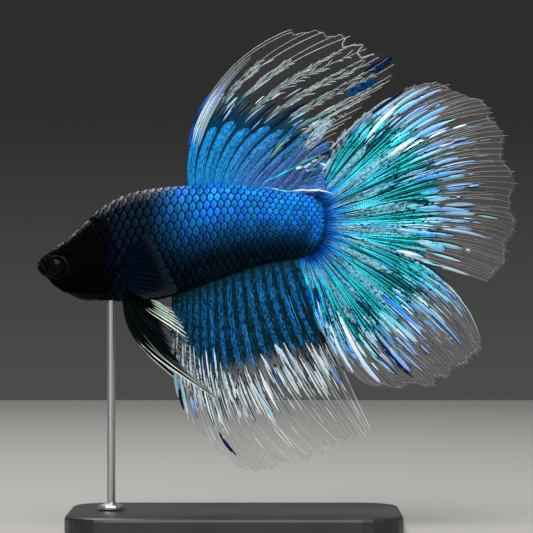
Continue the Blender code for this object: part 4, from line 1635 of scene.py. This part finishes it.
class TailLobe(Fin):
    """One lobe of the tail: turquoise bands, smooth grey panels, bright patches and a clear margin."""

    MARKS: tuple[Mark, ...] = ()
    ROWS = (
        (CYAN, SKY, PERIWINKLE),
        (ICE, SKY, PERIWINKLE),
        (TURQUOISE, ICE, PALE),
        (AZURE, SKY, LILAC),
        (TURQUOISE, CYAN, ICE),
        (PALE, WHITE, PALE),
        (ICE, PALE, LILAC),
    )

    def streaks(self) -> None:
        """Single marks, bright lines in the bands, broken streaks beyond them and black flecks."""
        self.sheaths()
        self.marks(self.MARKS)
        self.dashes(4, (0.4, 0.56), (0.68, 0.9), (0.1, 0.3), (0.34, 0.56), self.ROWS, 0.9)
        self.dashes(9, (0.38, 0.56), (0.6, 0.86), (0.06, 0.2), (0.15, 0.26), self.ROWS, 0.75)
        late = ((ICE, LILAC), (PALE, GREY))
        self.dashes(7, (0.6, 0.74), (0.76, 0.96), (0.04, 0.12), (0.08, 0.15), late, 0.6)
        ash = ((GREY, (0.34, 0.32, 0.31)), ((0.3, 0.3, 0.31), GREY))
        self.strew(9, (0.58, 0.8), (0.12, 0.34), (0.03, 0.055), ash, 0.8, None, 0.0, 0.3)
        self.hem((self.shape.first, self.shape.last), 0.985, 0.045, (0.3, 0.28, 0.27), 0.006, 0.7)
        bright = ((TURQUOISE, CYAN), (CYAN, TURQUOISE), (SEA, TURQUOISE), (ICE, TURQUOISE), (ICE, CYAN))
        self.strew(8, (0.1, 0.3), (0.14, 0.26), (0.08, 0.15), bright, 0.7)
        self.strew(6, (0.1, 0.3), (0.14, 0.26), (0.06, 0.12), ((COBALT, AZURE), (AZURE, CYAN)), 0.3)
        dark = ((INK, NAVY), (NAVY, TEAL))
        self.strew(8, (0.03, 0.3), (0.1, 0.3), (0.05, 0.1), dark[:1], 0.55, shine=0.0)
        self.strew(3, (0.03, 0.07), (0.1, 0.22), (0.1, 0.18), dark, 0.8, shine=0.0)
        self.strew(5, (0.03, 0.1), (0.14, 0.26), (0.09, 0.14), ((AZURE, CYAN), (SKY, ICE)), 0.6)
        count = round(self.shape.count * 60)
        self.flecks(round(1.2 * count), (0.34, 0.62), (self.shape.first, self.shape.last), (0.07, 0.13))
        self.flecks(count // 3, (0.16, 0.4), (self.shape.first, self.shape.last), (0.06, 0.1))

    def sheaths(self) -> None:
        """The rays' thick bases, which run over the end of the body."""
        t = self.blades.t
        for ray in np.arange(self.shape.first + 0.1, self.shape.last, 0.3):
            v = -0.045 + (0.17 + self.rng.uniform(-0.03, 0.03)) * t
            body_half = 0.95 * smooth(t, 0.62, 0.0)
            profile = np.maximum(4 * t * (1 - t), 0.0) ** 0.4
            colours = gradient((COBALT, (0.006, 0.2, 0.75), AZURE), t) * self.rng.uniform(0.55, 1.1)
            depth = (0.1 + body_half) * profile
            self.blades.items.append(Strand(np.full(len(t), ray), v, 0.15 * profile, depth, colours, 0.3))


class UpperTailLobe(TailLobe):
    """The larger lobe, with white streaks at the ends of its front panels and barbs along its front edge."""

    MARKS = (
        Mark((0.6, 0.66), (0.62, 0.97), 0.4, (INK, NAVY, INK), edged=False),
        Mark((1.32, 0.4), (1.2, 0.74), 0.44, (LILAC, WHITE, WHITE, ICE), 0.6, 0.05),
        Mark((1.2, 0.7), (1.15, 0.95), 0.34, (ICE, LILAC), 0.5, 0.05, edged=False),
        Mark((0.95, 0.6), (0.92, 0.93), 0.34, (ICE, PALE, LILAC), 0.5, 0.05),
        Mark((1.45, 0.66), (1.38, 0.96), 0.3, (SKY, PERIWINKLE, LILAC), 0.5, 0.05, edged=False),
        Mark((2.05, 0.5), (1.98, 0.84), 0.42, (ICE, SKY, LILAC), 0.5, 0.05),
        Mark((1.75, 0.55), (1.7, 0.93), 0.24, (LILAC, GREY), 0.6, 0.05),
        Mark((0.75, 0.6), (0.8, 0.95), 0.3, (TEAL, LILAC, GREY), 0.6, 0.05),
        Mark((2.5, 0.4), (2.45, 0.62), 0.5, (PALE, WHITE, SKY), 0.6, 0.05),
        Mark((2.45, 0.56), (2.4, 0.76), 0.5, (SKY, PERIWINKLE), 0.4, 0.3),
        Mark((3.7, 0.46), (3.75, 0.78), 0.42, (AZURE, SKY, PERIWINKLE), 0.6, 0.3),
        Mark((4.6, 0.44), (4.8, 0.76), 0.44, (ICE, SKY, PERIWINKLE, ICE), 0.5, 0.3),
        Mark((5.5, 0.38), (5.7, 0.62), 0.42, (PALE, SKY, AZURE), 0.5, 0.3),
        Mark((5.9, 0.5), (6.0, 0.68), 0.7, (PALE, ICE, SKY), 0.4, 0.3),
        Mark((6.3, 0.42), (6.3, 0.6), 0.5, (ICE, WHITE, SKY), 0.4, 0.3),
    )

    def streaks(self) -> None:
        """Also the barbs of the front edge."""
        super().streaks()
        self.barbs((0.55, 0.5), (0.26, 0.8), 0.018, 0.09, 0.22, (-1,), 0.11)
        edge = ((-0.6, 0.19), (-0.1, 0.27), (0.16, 0.37), (0.27, 0.5), (0.3, 0.64), (0.34, 0.78))
        self.trail(edge, 0.1, (SEA, PALE, PALE))
        self.barbs((-0.3, 0.13, 0.25, 0.28, 0.3, 0.33), (0.24, 0.8), 0.028, 0.13, 0.25, (-1, 1), 0.12)
        self.bundle((0.6, 0.12), (0.56, 0.3), (0.35, 0.2), 6, (SKY, PALE, ICE), 0.16)


class LowerTailLobe(TailLobe):
    """The smaller lobe, with long white streaks near its front edge."""

    MARKS = (
        Mark((5.05, 0.36), (5.35, 0.97), 0.56, (PALE, WHITE, PALE, (0.5, 0.6, 0.85)), 0.42, 0.05),
        Mark((5.95, 0.42), (6.15, 0.94), 0.46, (WHITE, PALE, PALE), 0.5, 0.05),
        Mark((6.45, 0.28), (6.45, 0.6), 0.16, (WHITE, PALE), 0.6, 0.05),
        Mark((3.9, 0.66), (4.0, 0.87), 0.5, (PALE, PERIWINKLE, LILAC), 0.45, 0.05),
        Mark((4.05, 0.55), (4.15, 0.92), 0.55, (INK, NAVY, INK), 0.7, edged=False),
        Mark((3.95, 0.42), (3.85, 0.52), 0.22, (WHITE, ICE), 0.6, 0.05),
        Mark((3.15, 0.56), (3.1, 0.72), 0.28, (ICE, WHITE, PALE), 0.6, 0.05),
        Mark((2.5, 0.42), (2.45, 0.74), 0.42, (COBALT, AZURE, PERIWINKLE), 0.5, 0.3),
        Mark((3.2, 0.66), (3.3, 0.84), 0.24, (SKY, PERIWINKLE), 0.6, 0.3),
        Mark((1.75, 0.56), (1.7, 0.93), 0.26, (ICE, SKY, PERIWINKLE), 0.6, 0.3),
        Mark((0.95, 0.5), (0.7, 0.74), 0.24, (ICE, SKY), 0.6, 0.3),
        Mark((0.55, 0.5), (0.53, 1.0), 0.12, (GREY, PALE, GREY), 0.3, edged=False),
    )

    def streaks(self) -> None:
        """Also the dark, straight streaks of the front part."""
        super().streaks()
        dark = ((COBALT, NAVY), (INK, NAVY), (TEAL, COBALT), (INK, TEAL), (AZURE, COBALT))
        for ray in np.arange(5.2, 7.4, 0.11):
            v = self.rng.uniform(0.1, 0.36)
            end = v + self.rng.uniform(0.16, 0.32)
            colours = dark[self.rng.integers(len(dark))]
            width = self.rng.uniform(0.12, 0.22)
            self.blades.blade((ray, v), (ray + 0.03, end), width, colours, 0.05, 0.12, 0.5)


class AnalFin(Fin):
    """The long fin under the tail: a dark mesh, blue streaks, white streaks and a clear, feathery margin."""

    MARKS = (
        Mark((11.4, 0.41), (11.7, 0.53), 0.42, (PALE, (0.55, 0.62, 0.85)), 0.35, edged=False),
        Mark((12.1, 0.4), (12.4, 0.7), 0.36, (WHITE, PALE, (0.5, 0.6, 0.8), PALE)),
        Mark((8.9, 0.44), (9.3, 0.74), 0.3, (WHITE, PALE, PALE, ICE)),
        Mark((10.2, 0.42), (10.4, 0.54), 0.24, (WHITE, PALE)),
        Mark((7.6, 0.46), (7.7, 0.58), 0.24, (PALE, WHITE)),
        Mark((6.0, 0.42), (6.1, 0.6), 0.24, (WHITE, PALE)),
        Mark((5.1, 0.42), (5.2, 0.54), 0.22, (WHITE, PALE)),
        Mark((3.5, 0.44), (3.6, 0.66), 0.26, (WHITE, PALE)),
        Mark((2.6, 0.44), (2.7, 0.7), 0.24, (PALE, WHITE)),
        Mark((14.8, 0.55), (14.9, 0.76), 0.34, (LILAC, PERIWINKLE, LILAC)),
        Mark((15.9, 0.34), (16.0, 0.62), 0.24, (WHITE, WHITE, PALE)),
        Mark((15.6, 0.5), (15.8, 0.8), 0.14, (PALE, GREY), edged=False),
        Mark((5.0, 0.78), (5.3, 0.93), 0.3, (INK, NAVY, INK), 0.6, edged=False),
        Mark((1.8, 0.8), (1.8, 1.0), 0.3, (INK, INK, NAVY), 0.6, edged=False),
        Mark((1.2, 0.72), (1.2, 1.0), 0.3, (PALE, ICE, PALE), edged=False),
        Mark((2.3, 0.7), (2.4, 0.96), 0.28, (PALE, ICE, WHITE), edged=False),
        Mark((3.2, 0.74), (3.3, 0.9), 0.24, (PALE, SKY, COBALT), edged=False),
    )

    def streaks(self) -> None:
        """Blue streaks between the rays, white ones beyond them and black dashes."""
        self.marks(self.MARKS)
        blue = (
            ((0.01, 0.2, 0.62), (0.03, 0.3, 0.85)),
            ((0.006, 0.13, 0.42), (0.012, 0.2, 0.7)),
            ((0.02, 0.26, 0.66), (0.05, 0.36, 0.95)),
        )
        dim = (((0.003, 0.11, 0.26), (0.003, 0.08, 0.22)), ((0.004, 0.14, 0.36), (0.003, 0.08, 0.28)))
        front, rear = (0.5, 6.0), (6.0, 16.0)
        for start in (0.04, 0.11, 0.18, 0.25, 0.32, 0.39):
            self.strew(2, (start, start + 0.07), (0.06, 0.11), (0.1, 0.18), dim, 0.6, front, 0.1, 0.4)
            self.strew(4, (start, start + 0.08), (0.04, 0.08), (0.07, 0.12), dim, 0.4, rear, 0.1, 0.4)
        for start in (0.09, 0.16, 0.23, 0.3, 0.37):
            self.strew(1, (start, start + 0.05), (0.04, 0.09), (0.1, 0.18), blue, 0.7, rear, 0.2, 0.4)
        self.flecks(900, (0.04, 0.54), (0.0, 16.0), (0.06, 0.11))
        edge = ((COBALT, AZURE), (NAVY, INK), (TURQUOISE, AZURE), (NAVY, COBALT))
        self.strew(5, (0.06, 0.34), (0.12, 0.26), (0.08, 0.16), edge, 0.8, (13.8, 16.1), 0.15)
        green = (((0.02, 0.4, 0.38), (0.01, 0.26, 0.26)), ((0.012, 0.32, 0.4), (0.03, 0.46, 0.38)))
        for _ in range(5):
            self.strew(6, (0.0, 0.44), (0.006, 0.014), (0.06, 0.1), green, 0.7)
        white = ((WHITE, PALE), (PALE, WHITE), ((0.4, 0.5, 0.8), WHITE), (WHITE, WHITE))
        self.strew(4, (0.44, 0.6), (0.04, 0.12), (0.1, 0.18), ((INK, TEAL),), 0.5, None, 0.0, 0.7)
        self.strew(2, (0.4, 0.52), (0.14, 0.28), (0.16, 0.32), white, 0.85, None, 0.0, 0.55, True)
        self.strew(2, (0.29, 0.4), (0.14, 0.28), (0.12, 0.26), white, 0.8, (0.8, 7.5), 0.0, 0.55, True)
        self.strew(4, (0.46, 0.6), (0.1, 0.22), (0.09, 0.18), white, 0.75, None, 0.0, 0.6)
        self.strew(7, (0.48, 0.7), (0.03, 0.1), (0.05, 0.1), white, 0.8, None, 0.0, 0.6)
        dark = ((NAVY, COBALT), (TEAL, INK))
        self.strew(3, (0.5, 0.66), (0.06, 0.14), (0.1, 0.18), dark, 0.3, None, 0.0, 0.6)
        self.strew(3, (0.66, 0.82), (0.05, 0.16), (0.05, 0.1), white, 0.5, None, 0.0, 0.8)


class PelvicFin(Fin):
    """A black spear with two pale leading rays and a comb of pale green rays behind."""

    MARKS = (
        Mark((0.0, 0.3), (0.0, 1.0), 0.13, (LEAF, WHITE, WHITE, WHITE, PALE), 0.4, edged=False),
        Mark((0.55, 0.4), (0.3, 0.96), 0.1, (LEAF, WHITE, WHITE), 0.4, bend=0.1),
        Mark((1.1, 0.35), (0.6, 0.75), 0.08, (GREY, PALE), edged=False),
    )

    def streaks(self) -> None:
        """The pale rays."""
        self.marks(self.MARKS)
        for ray in np.linspace(2.9, 4.9, 7):
            tone = self.rng.uniform(0.85, 1.1)
            start, end = 0.3 + self.rng.uniform(-0.08, 0.08), 1.0 + self.rng.uniform(-0.08, 0.03)
            colours = ((0.4, 0.56, 0.42), np.array((0.8, 1.0, 0.82)) * tone, np.array(WHITE) * tone)
            self.blades.blade((ray, start), (ray - 0.1, end), 0.13, colours, 0.0, 0.1, 0.45, 0.12)


SMOKE = (0.0006, 0.0015, 0.003)
DORSAL_SHAPE = FinShape(
    rays=(
        (25.6, 12.2, 101, 20, 42.6, 39.8), (27.0, 12.4, 95, 22, 48.6, 39.8),
        (28.5, 12.5, 89, 22, 52.9, 38.5), (30.2, 12.6, 81, 27, 56.6, 36.2),
        (31.9, 12.6, 73, 33, 59.6, 35.2), (33.6, 12.4, 64, 31, 60.5, 32.2),
        (35.1, 12.1, 56, 27, 57.2, 29.3), (36.6, 11.9, 48, 23, 53.2, 25.0),
        (38.0, 11.7, 40, 20, 50.8, 23.0), (39.4, 11.4, 31, 16, 49.6, 19.9),
        (40.8, 11.2, 20, 10, 48.9, 16.8), (42.2, 11.0, 10, -8, 48.6, 12.4),
    ),
    count=13, notch=0.03, sway=-0.9, ruffle=0.8, waves=2.3, phase=0.15, splits=(0.4,),
)
TAIL_UPPER_SHAPE = FinShape(
    rays=(
        (46.5, 11.2, 74, 31, 62.8, 30.5), (46.9, 10.7, 53, 17, 68.2, 31.0),
        (47.1, 10.2, 41, 9, 73.9, 28.8), (47.3, 9.7, 34, 6, 77.6, 25.8),
        (47.4, 9.1, 24, 1, 79.0, 21.0), (47.5, 8.5, 14, -5, 80.5, 15.7),
        (47.5, 7.9, 4, -12, 81.2, 10.1), (47.5, 7.3, -5, -21, 80.8, 5.0),
        (47.4, 6.5, -14, -26, 79.3, 0.5), (47.3, 5.8, -20, -18, 76.6, -3.2),
    ),
    count=6, first=0.5, sway=1.9, ruffle=1.0, waves=1.7, splits=(0.07, 0.2, 0.44), spread=0.5,
)
TAIL_LOWER_SHAPE = FinShape(
    rays=(
        (47.1, 5.8, -6, -77, 75.4, -13.3), (46.9, 5.0, -20, -62, 74.3, -15.4),
        (46.7, 4.2, -34, -48, 72.0, -17.0), (46.4, 3.7, -44, -43, 69.1, -18.9),
        (46.1, 3.2, -51, -36, 66.6, -20.5), (45.7, 2.8, -58, -32, 62.0, -20.8),
        (45.3, 2.4, -65, -36, 57.4, -20.9), (44.9, 2.1, -72, -50, 52.7, -18.4),
        (44.0, 1.9, -80, -66, 50.0, -15.6),
    ),
    count=6.86, first=0.5, sway=-1.9, ruffle=0.9, waves=1.5, phase=0.3, splits=(0.07, 0.2, 0.46),
    spread=0.5,
)
ANAL_SHAPE = FinShape(
    rays=(
        (22.8, -4.6, -90, -88, 22.7, -17.4), (24.1, -4.0, -91, -76, 24.4, -24.3),
        (25.6, -3.4, -91, -67, 27.7, -28.7), (27.3, -2.8, -90, -52, 33.8, -34.2),
        (29.3, -2.1, -90, -41, 38.2, -35.2), (31.5, -1.2, -89, -37, 42.4, -33.5),
        (33.9, -0.4, -87, -40, 47.1, -32.6), (36.4, 0.4, -84, -45, 50.7, -30.4),
        (39.0, 1.0, -80, -51, 53.4, -29.7), (41.4, 1.5, -76, -57, 55.4, -28.9),
        (44.4, 2.2, -73, -64, 56.2, -27.6),
    ),
    count=16, sway=1.1, ruffle=0.7, waves=2.6, phase=0.4, splits=(0.5,),
)
PELVIC_RAYS = (
    (14.7, -4.9, -97, -37, 31.2, -23.1), (15.4, -4.9, -82, -37, 28.6, -20.0),
    (16.1, -4.9, -64, -36, 26.2, -13.6), (16.9, -4.8, -46, -28, 24.8, -10.0),
    (17.8, -4.7, -26, -14, 22.8, -7.2),
)
PECTORAL_RAYS = (
    (14.0, 0.8, 50, 46, 18.7, 5.4), (14.1, 0.0, 26, 8, 20.8, 2.2),
    (14.2, -0.8, 4, -14, 22.4, -1.0), (14.4, -1.8, -10, -22, 23.7, -3.6),
    (14.6, -2.8, -20, -16, 23.2, -4.9), (14.8, -3.6, -26, -4, 18.9, -5.6),
)
FAR_PELVIC_TURN = math.radians(5)


def make_fins(body: Body, place: Place) -> list[Fin]:
    """All fins, with their forms and colours."""
    tail_web = WebLook(
        root=(0.003, 0.06, 0.3), band=(0.008, 0.3, 0.34), dark=(0.001, 0.03, 0.045),
        panel=(0.15, 0.48, 0.6), outer=(0.26, 0.25, 0.24), uneven=0.5, panel_end=(0.52, 0.5, 0.46),
        inner_end=(0.6, 0.62, 0.6), speckle=0.4, late=(0.003, 0.16, 0.17), light=(0.55, 0.76, 0.82),
    )
    tail_rays = (
        (0.0, (0.004, 0.15, 0.75)), (0.08, (0.01, 0.44, 1.0)),
        (0.2, (0.05, 0.84, 1.0)), (0.36, (0.03, 0.78, 0.85)),
        (0.5, TURQUOISE), (0.6, (0.14, 0.42, 0.5)),
        (0.72, (0.26, 0.255, 0.25)), (1.0, (0.25, 0.235, 0.225)),
    )
    tail_widths = (0.15, 0.15, 0.14, 0.12, 0.08, 0.06, 0.05, 0.04)
    dorsal_web = WebLook(
        root=(0.006, 0.22, 0.6), band=(0.001, 0.07, 0.16), dark=(0.0008, 0.025, 0.055),
        panel=(0.008, 0.27, 0.7), outer=(0.14, 0.14, 0.14), light=(0.06, 0.6, 1.0),
        late=(0.001, 0.035, 0.05), rear_panel=(0.06, 0.15, 0.48), taper=0.88,
        patches=(
            Patch((10.9, 0.3), (1.25, 0.2), ((0.015, 0.07, 0.24), (0.11, 0.2, 0.52)), 0.5),
            Patch((11.9, 0.62), (0.62, 0.26), ((0.004, 0.04, 0.14), (0.03, 0.13, 0.36)), 0.5),
            Patch((8.2, 0.66), (1.0, 0.13), ((0.05, 0.15, 0.22), (0.42, 0.6, 0.7)), 0.2),
            Patch((9.3, 0.73), (0.6, 0.12), ((0.04, 0.14, 0.2), (0.42, 0.6, 0.7)), 0.2),
            Patch((7.6, 0.42), (0.75, 0.13), ((0.006, 0.07, 0.2), (0.03, 0.21, 0.44)), 0.5),
            Patch((5.48, 0.835), (0.34, 0.085), ((0.001, 0.03, 0.12), (0.003, 0.09, 0.3)), 0.5),
            Patch((4.8, 0.94), (0.34, 0.07), (INK, (0.002, 0.03, 0.13))),
        ),
        root_share=0.3, uneven=0.16, band_start=0.035, band_end=0.13, panel_end=(0.31, 0.38, 1.6),
        inner_end=(0.4, 0.48, 1.25), ragged=0.3, speckle=0.15, outer_alpha=0.04,
    )
    anal_web = WebLook(
        root=(0.001, 0.03, 0.042), band=(0.0015, 0.06, 0.072), dark=(0.0006, 0.016, 0.028),
        panel=(0.004, 0.11, 0.2), rear_panel=(0.008, 0.17, 0.5), rear_from=(2.0, 7.0),
        light=(0.02, 0.3, 0.75), mesh=0.8, outer=(0.28, 0.275, 0.27), band_start=0.2, band_end=0.3,
        inner_end=(0.36, 0.45, 0.52), ragged=0.36, speckle=0.6, outer_alpha=0.1, ticks=70.0,
    )
    fins: list[Fin] = [
        DorsalFin(
            "dorsal_fin", DORSAL_SHAPE, dorsal_web, body, place,
            ray_widths=(0.09, 0.09, 0.09, 0.08, 0.07, 0.055),
            ray_colours=(
                (0.0, (0.002, 0.06, 0.16)), (0.35, (0.001, 0.02, 0.035)),
                (0.5, (0.2, 0.24, 0.25)), (1.0, (0.38, 0.36, 0.35)),
            ),
            ray_shine=0.1,
        ),
        UpperTailLobe(
            "tail_fin_upper", TAIL_UPPER_SHAPE, tail_web, body, place, ray_widths=tail_widths,
            ray_colours=tail_rays, ray_shine=0.35, across=24,
        ),
        LowerTailLobe(
            "tail_fin_lower", TAIL_LOWER_SHAPE, tail_web, body, place, ray_widths=tail_widths,
            ray_colours=tail_rays, ray_shine=0.35, across=24, seed=6,
        ),
        AnalFin(
            "anal_fin", ANAL_SHAPE, anal_web, body, place, ray_widths=(0.1, 0.09, 0.08, 0.08, 0.075, 0.065),
            ray_colours=(
                (0.0, (0.001, 0.03, 0.045)), (0.42, (0.001, 0.025, 0.04)),
                (0.54, (0.36, 0.4, 0.42)), (0.8, (0.5, 0.5, 0.5)),
                (1.0, (0.72, 0.72, 0.72)),
            ),
            ray_shine=0.1,
        ),
    ]
    pelvic_web = WebLook(
        root=SMOKE, band=(0.0015, 0.0025, 0.0025), dark=SMOKE, panel=(0.001, 0.002, 0.002),
        outer=(0.05, 0.06, 0.055), light=(0.003, 0.004, 0.004), inner_end=(0.95, 0.6, 0.3), speckle=0.1,
        outer_alpha=0.05, shine=0.0, gloss=0.015,
    )
    pectoral_web = WebLook(
        root=SMOKE, band=(0.0006, 0.004, 0.014), dark=(0.0005, 0.002, 0.007), panel=(0.0006, 0.005, 0.018),
        light=(0.003, 0.012, 0.026), outer=(0.012, 0.026, 0.034), inner_end=(0.95, 0.85, 0.7), ragged=0.3,
        soft=0.14, speckle=0.05, inner_alpha=0.84, outer_alpha=0.22, shine=0.0, gloss=0.02,
    )
    pelvic_rays = ((0.0, (0.002, 0.003, 0.003)), (0.6, (0.006, 0.008, 0.007)), (1.0, (0.3, 0.33, 0.3)))
    pectoral_rays = ((0.0, (0.001, 0.002, 0.004)), (0.7, (0.0012, 0.004, 0.008)), (1.0, (0.03, 0.045, 0.05)))
    for side in Side:
        word, sign = side.name.lower(), side.value
        turn = FAR_PELVIC_TURN if side is Side.RIGHT else 0.0
        pelvic = FinShape(PELVIC_RAYS, 5, 0.05, ruffle=0.2, phase=0.1, stands_out=2.2, side=sign, turn=turn)
        pectoral = FinShape(PECTORAL_RAYS, 10, 0.03, ruffle=0.15, waves=1.2, stands_out=1.6, side=sign)
        fins += [
            PelvicFin(
                f"pelvic_fin_{word}", pelvic, pelvic_web, body, place, slot="dark_fin",
                ray_widths=(0.1, 0.08, 0.06), ray_colours=pelvic_rays, ray_shine=0.0,
            ),
            Fin(
                f"pectoral_fin_{word}", pectoral, pectoral_web, body, place, slot="dark_fin",
                ray_widths=(0.06, 0.045, 0.03), ray_colours=pectoral_rays, ray_shine=0.0, gloss=0.02,
            ),
        ]
    return fins


# ---------- stand and studio


@dataclass(frozen=True)
class BaseFinish:
    """Satin black acrylic with a fine grain."""

    def material(self) -> Material:
        """The node material."""
        g = Graph("satin_acrylic")
        at = g.place()
        cloud = g.noise(at, 60.0, 3.0)
        grain = g.noise(at, 4000.0, 2.0)
        g.set(Base_Color=g.mix(g.step(cloud, 0.35, 0.7), (0.014, 0.014, 0.016), (0.022, 0.022, 0.024)))
        g.set(Roughness=g.add(0.3, g.mul(cloud, 0.15)))
        g.bump(grain, 0.00002, 0.4)
        return g.material


@dataclass(frozen=True)
class RodFinish:
    """Steel, brushed round the rod."""

    def material(self) -> Material:
        """The node material."""
        g = Graph("brushed_steel")
        x, y, z = g.split(g.place())[:3]
        rings = g.noise(g.join(g.mul(x, 300.0), g.mul(y, 300.0), g.mul(z, 9000.0)), 1.0, 3.0)
        g.set(Base_Color=g.mix(rings, (0.46, 0.47, 0.48), (0.6, 0.6, 0.61)))
        g.set(Metallic=1.0, Roughness=g.add(0.22, g.mul(rings, 0.2)))
        g.bump(rings, 0.00002, 0.5)
        return g.material


@dataclass(frozen=True)
class Stand:
    """The plain display stand, whose solids stay and get their finishes."""

    def dress(self, nodes: dict[str, Piece]) -> None:
        """Puts the finishes on the two solids."""
        for name, finish in (("stand_base", BaseFinish()), ("stand_rod", RodFinish())):
            nodes[name].data.materials.clear()
            nodes[name].data.materials.append(finish.material())
            LOG.info("%s: finished", name)


@dataclass(frozen=True)
class Studio:
    """Floor, backdrop, lights and a level camera on the fish's left.

    Attributes:
        distance: From the camera to the middle plane of the fish.
        view_width: What the camera sees across at that plane.
        ahead, above: x of the camera from the snout in millimetres, and z over the floor.
        floor_reach: How far the floor runs behind the fish.
    """

    place: Place
    distance: float = 0.5
    view_width: float = 0.08976
    ahead: float = 38.65
    above: float = 0.04435
    floor_reach: float = 0.485

    def build(self) -> None:
        """Makes everything round the fish."""
        self.camera()
        self.floor()
        self.lights()
        self.backdrop()
        scene = bpy.context.scene
        scene.view_settings.view_transform = "Standard"
        scene.view_settings.look = "None"

    def camera(self) -> None:
        """A level camera that looks along +Y."""
        data = bpy.data.cameras.new("camera")
        data.sensor_width = 36.0
        data.lens = data.sensor_width * self.distance / self.view_width
        camera = bpy.data.objects.new("camera", data)
        camera.location = (self.place.snout.x + self.ahead * MM, -self.distance, self.above)
        camera.rotation_euler = (math.radians(90), 0, 0)
        bpy.context.scene.collection.objects.link(camera)
        bpy.context.scene.camera = camera

    def floor(self) -> None:
        """A pale floor that ends behind the fish."""
        bm = bmesh.new()
        bmesh.ops.create_grid(bm, x_segments=1, y_segments=1, size=1.0)
        for vert in bm.verts:
            vert.co = (vert.co.x * 1.2, self.floor_reach if vert.co.y > 0 else -0.9, 0.0)
        floor = mesh_piece("floor", bm)
        g = Graph("pale_floor")
        g.set(Base_Color=(0.3, 0.293, 0.28), Roughness=0.8, Specular_IOR_Level=0.2)
        floor.data.materials.append(g.material)

    def lights(self) -> None:
        """A broad light over the fish, a soft one in front and one that rims its back."""
        centre = Vector((self.place.snout.x + 42 * MM, 0.0, self.above))
        rows = (
            ("over", (-0.02, -0.24, 0.42), 0.4, 3.3, (1.0, 1.0, 1.0)),
            ("front", (-0.1, -0.6, 0.1), 0.5, 1.0, (0.96, 0.98, 1.0)),
            ("rim", (-0.1, 0.2, 0.4), 0.2, 1.6, (1.0, 0.98, 0.95)),
        )
        for name, offset, size, power, colour in rows:
            data = bpy.data.lights.new(name, "AREA")
            data.shape = "DISK"
            data.size = size
            data.energy = power
            data.color = colour
            light = bpy.data.objects.new(name, data)
            light.location = centre + Vector(offset)
            light.rotation_euler = (centre - light.location).to_track_quat("-Z", "Y").to_euler()
            bpy.context.scene.collection.objects.link(light)

    def backdrop(self) -> None:
        """A plain dark grey behind the fish, and a soft pale light from all round."""
        g = Graph("studio", True)
        height = g.split(g.place("Generated"))[2]
        dusk = g.mix(g.step(height, -0.035, 0.05, "LINEAR"), (0.07, 0.07, 0.067), (0.027, 0.027, 0.026))
        seen = g.node("LightPath", {}, "Is Camera Ray")
        g.set(Color=g.mix(seen, (0.13, 0.133, 0.137), dusk))
        bpy.context.scene.world = g.material


def main() -> None:
    """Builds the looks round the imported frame."""
    logging.basicConfig(level=logging.INFO, format="%(name)s %(message)s")
    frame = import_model()
    low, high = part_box("eye_left")
    snout_x = (low.x + high.x) / 2 - EYE_CENTRE[0] * MM
    snout_z = (low.z + high.z) / 2 - EYE_CENTRE[2] * MM
    place = Place(Vector((snout_x, 0.0, snout_z)))
    body = Body()
    skin = Skin(body, place)
    skin.build()
    ScaleCoat(skin).build()
    ScaleCoat(
        skin, name="face_scales", slot="head_skin",
        replaces=("head", "gill_cover_left", "gill_cover_right"), on_head=True, rows=20, first_x=2.4,
        last_x=15.0, front_pitch=0.5, back_pitch=1.1, thickness=0.03, lift=0.045, seed=12,
        # sheen: the faint painted sheen on the face scales' rims.
        sheen=(0.0004, 0.0006, 0.001), finish=ScaleFinish(gloss=0.008, roughness=0.6),
    ).build()
    for side in Side:
        Eye(place, side.value).build()
    for fin in make_fins(body, place):
        fin.build()
    Stand().dress(frame["nodes"])
    Studio(place).build()


if __name__ == "__main__":
    main()
